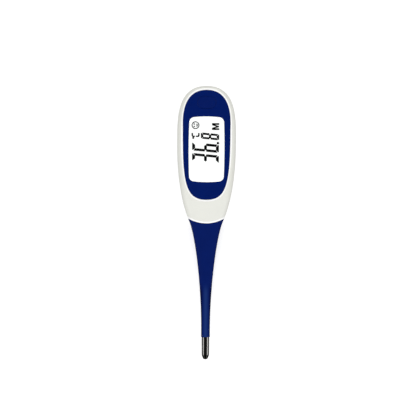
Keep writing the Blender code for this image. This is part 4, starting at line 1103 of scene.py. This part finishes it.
# what gloss reflects, from overhead (0) across to the horizon (1): a dark room, a strip light on each side
REFLECTED = ((0.0, 0.012), (0.42, 0.015), (0.52, 0.16), (0.64, 0.22), (0.69, 1.6), (0.79, 1.6), (0.84, 0.18),
             (1.0, 0.10))
SOFT_LIGHT = (0.9, 1.2)  # at the horizon and overhead
TABLE_SIZE = 3.0
TABLE_DROP = 0.01 * MM
TABLE_COLOUR = (0.62, 0.62, 0.62, 1.0)
TABLE_GLOW = 0.55
TABLE_BOUNCE = 0.8  # the light it sends up to the object
TABLE_SHEEN = (0.9, 0.05)  # what gloss sees of it square on, on top of what it sees aslant
TABLE_SHEEN_POWER = 8.0
CAMERA_DISTANCE = 2.0
CAMERA_CENTRE = (-3.0 * MM, 10.79 * MM)
CAMERA_ROLL = 0.33
SENSOR_WIDTH = 36.0
VIEW_WIDTH = 0.1928


def mix_shaders(tree, share, below, above):
    made = node(tree, "MixShader", Fac=share)
    tree.links.new(below.outputs[0], made.inputs[1])
    tree.links.new(above.outputs[0], made.inputs[2])
    return made


def build_world():
    """A white backdrop, soft white light, and a room that only gloss sees."""
    world = bpy.data.worlds.new("studio")
    bpy.context.scene.world = world
    world.use_nodes = True
    world.cycles.sampling_method = "NONE"
    tree = world.node_tree
    tree.nodes.clear()
    x, _, z = node(tree, "SeparateXYZ", Vector=node(tree, "TexCoord").outputs["Generated"]).outputs
    across = calc(tree, "ARCTAN2", calc(tree, "ABSOLUTE", x), calc(tree, "MAXIMUM", z, 0.0))
    across = calc(tree, "DIVIDE", across, math.pi / 2)
    stops = [(position, (value, value, value)) for position, value in REFLECTED]
    room = node(tree, "Background", Strength=ramp(tree, across, stops, "EASE"))
    dome = node(tree, "MapRange", Value=z, To_Min=SOFT_LIGHT[0], To_Max=SOFT_LIGHT[1]).outputs["Result"]
    soft = node(tree, "Background", Color=WHITE, Strength=dome)
    backdrop = node(tree, "Background", Color=WHITE)
    ray = node(tree, "LightPath").outputs
    lit = mix_shaders(tree, ray["Is Glossy Ray"], soft, room)
    lit = mix_shaders(tree, ray["Is Camera Ray"], lit, backdrop)
    node(tree, "OutputWorld", Surface=lit.outputs[0])


def build_floor():
    """A plain pale table: white to look at, dim where gloss sees it aslant, and clear from below."""
    bm = bmesh.new()
    bmesh.ops.create_grid(bm, x_segments=8, y_segments=8, size=TABLE_SIZE)
    floor = from_bmesh("floor", bm)
    floor.location.z = -TABLE_DROP
    made, tree = new_material("floor_white")
    tree.nodes.clear()
    ray = node(tree, "LightPath").outputs
    both = tree.nodes.new("ShaderNodeAddShader")
    tree.links.new(node(tree, "BsdfDiffuse", Color=TABLE_COLOUR).outputs[0], both.inputs[0])
    tree.links.new(node(tree, "Emission", Strength=TABLE_GLOW).outputs[0], both.inputs[1])
    aslant = node(tree, "LayerWeight").outputs["Facing"]
    square_on = calc(tree, "POWER", calc(tree, "SUBTRACT", 1.0, aslant), TABLE_SHEEN_POWER)
    sheen = node(tree, "Emission", Strength=calc(tree, "MULTIPLY_ADD", square_on, *TABLE_SHEEN))
    bounce = node(tree, "Emission", Strength=TABLE_BOUNCE)
    top = mix_shaders(tree, ray["Is Glossy Ray"], both, sheen)
    top = mix_shaders(tree, ray["Is Diffuse Ray"], top, bounce)
    below = node(tree, "NewGeometry").outputs["Backfacing"]
    sides = mix_shaders(tree, below, top, node(tree, "BsdfTransparent"))
    node(tree, "OutputMaterial", Surface=sides.outputs[0])
    floor.data.materials.append(made)


def build_camera():
    data = bpy.data.cameras.new("camera")
    data.sensor_width = SENSOR_WIDTH
    data.lens = SENSOR_WIDTH * CAMERA_DISTANCE / VIEW_WIDTH
    data.clip_start = 0.01
    data.clip_end = 20.0
    camera = bpy.data.objects.new("camera", data)
    bpy.context.scene.collection.objects.link(camera)
    camera.location = (*CAMERA_CENTRE, MID + CAMERA_DISTANCE)
    camera.rotation_euler = (0.0, 0.0, math.radians(CAMERA_ROLL))
    bpy.context.scene.camera = camera


build_front_shell()
build_back_shell()
build_face()
build_button()
build_door()
build_display()
build_stem()
build_leads()
build_cap()
build_world()
build_floor()
build_camera()
bpy.context.scene.view_settings.view_transform = "Standard"
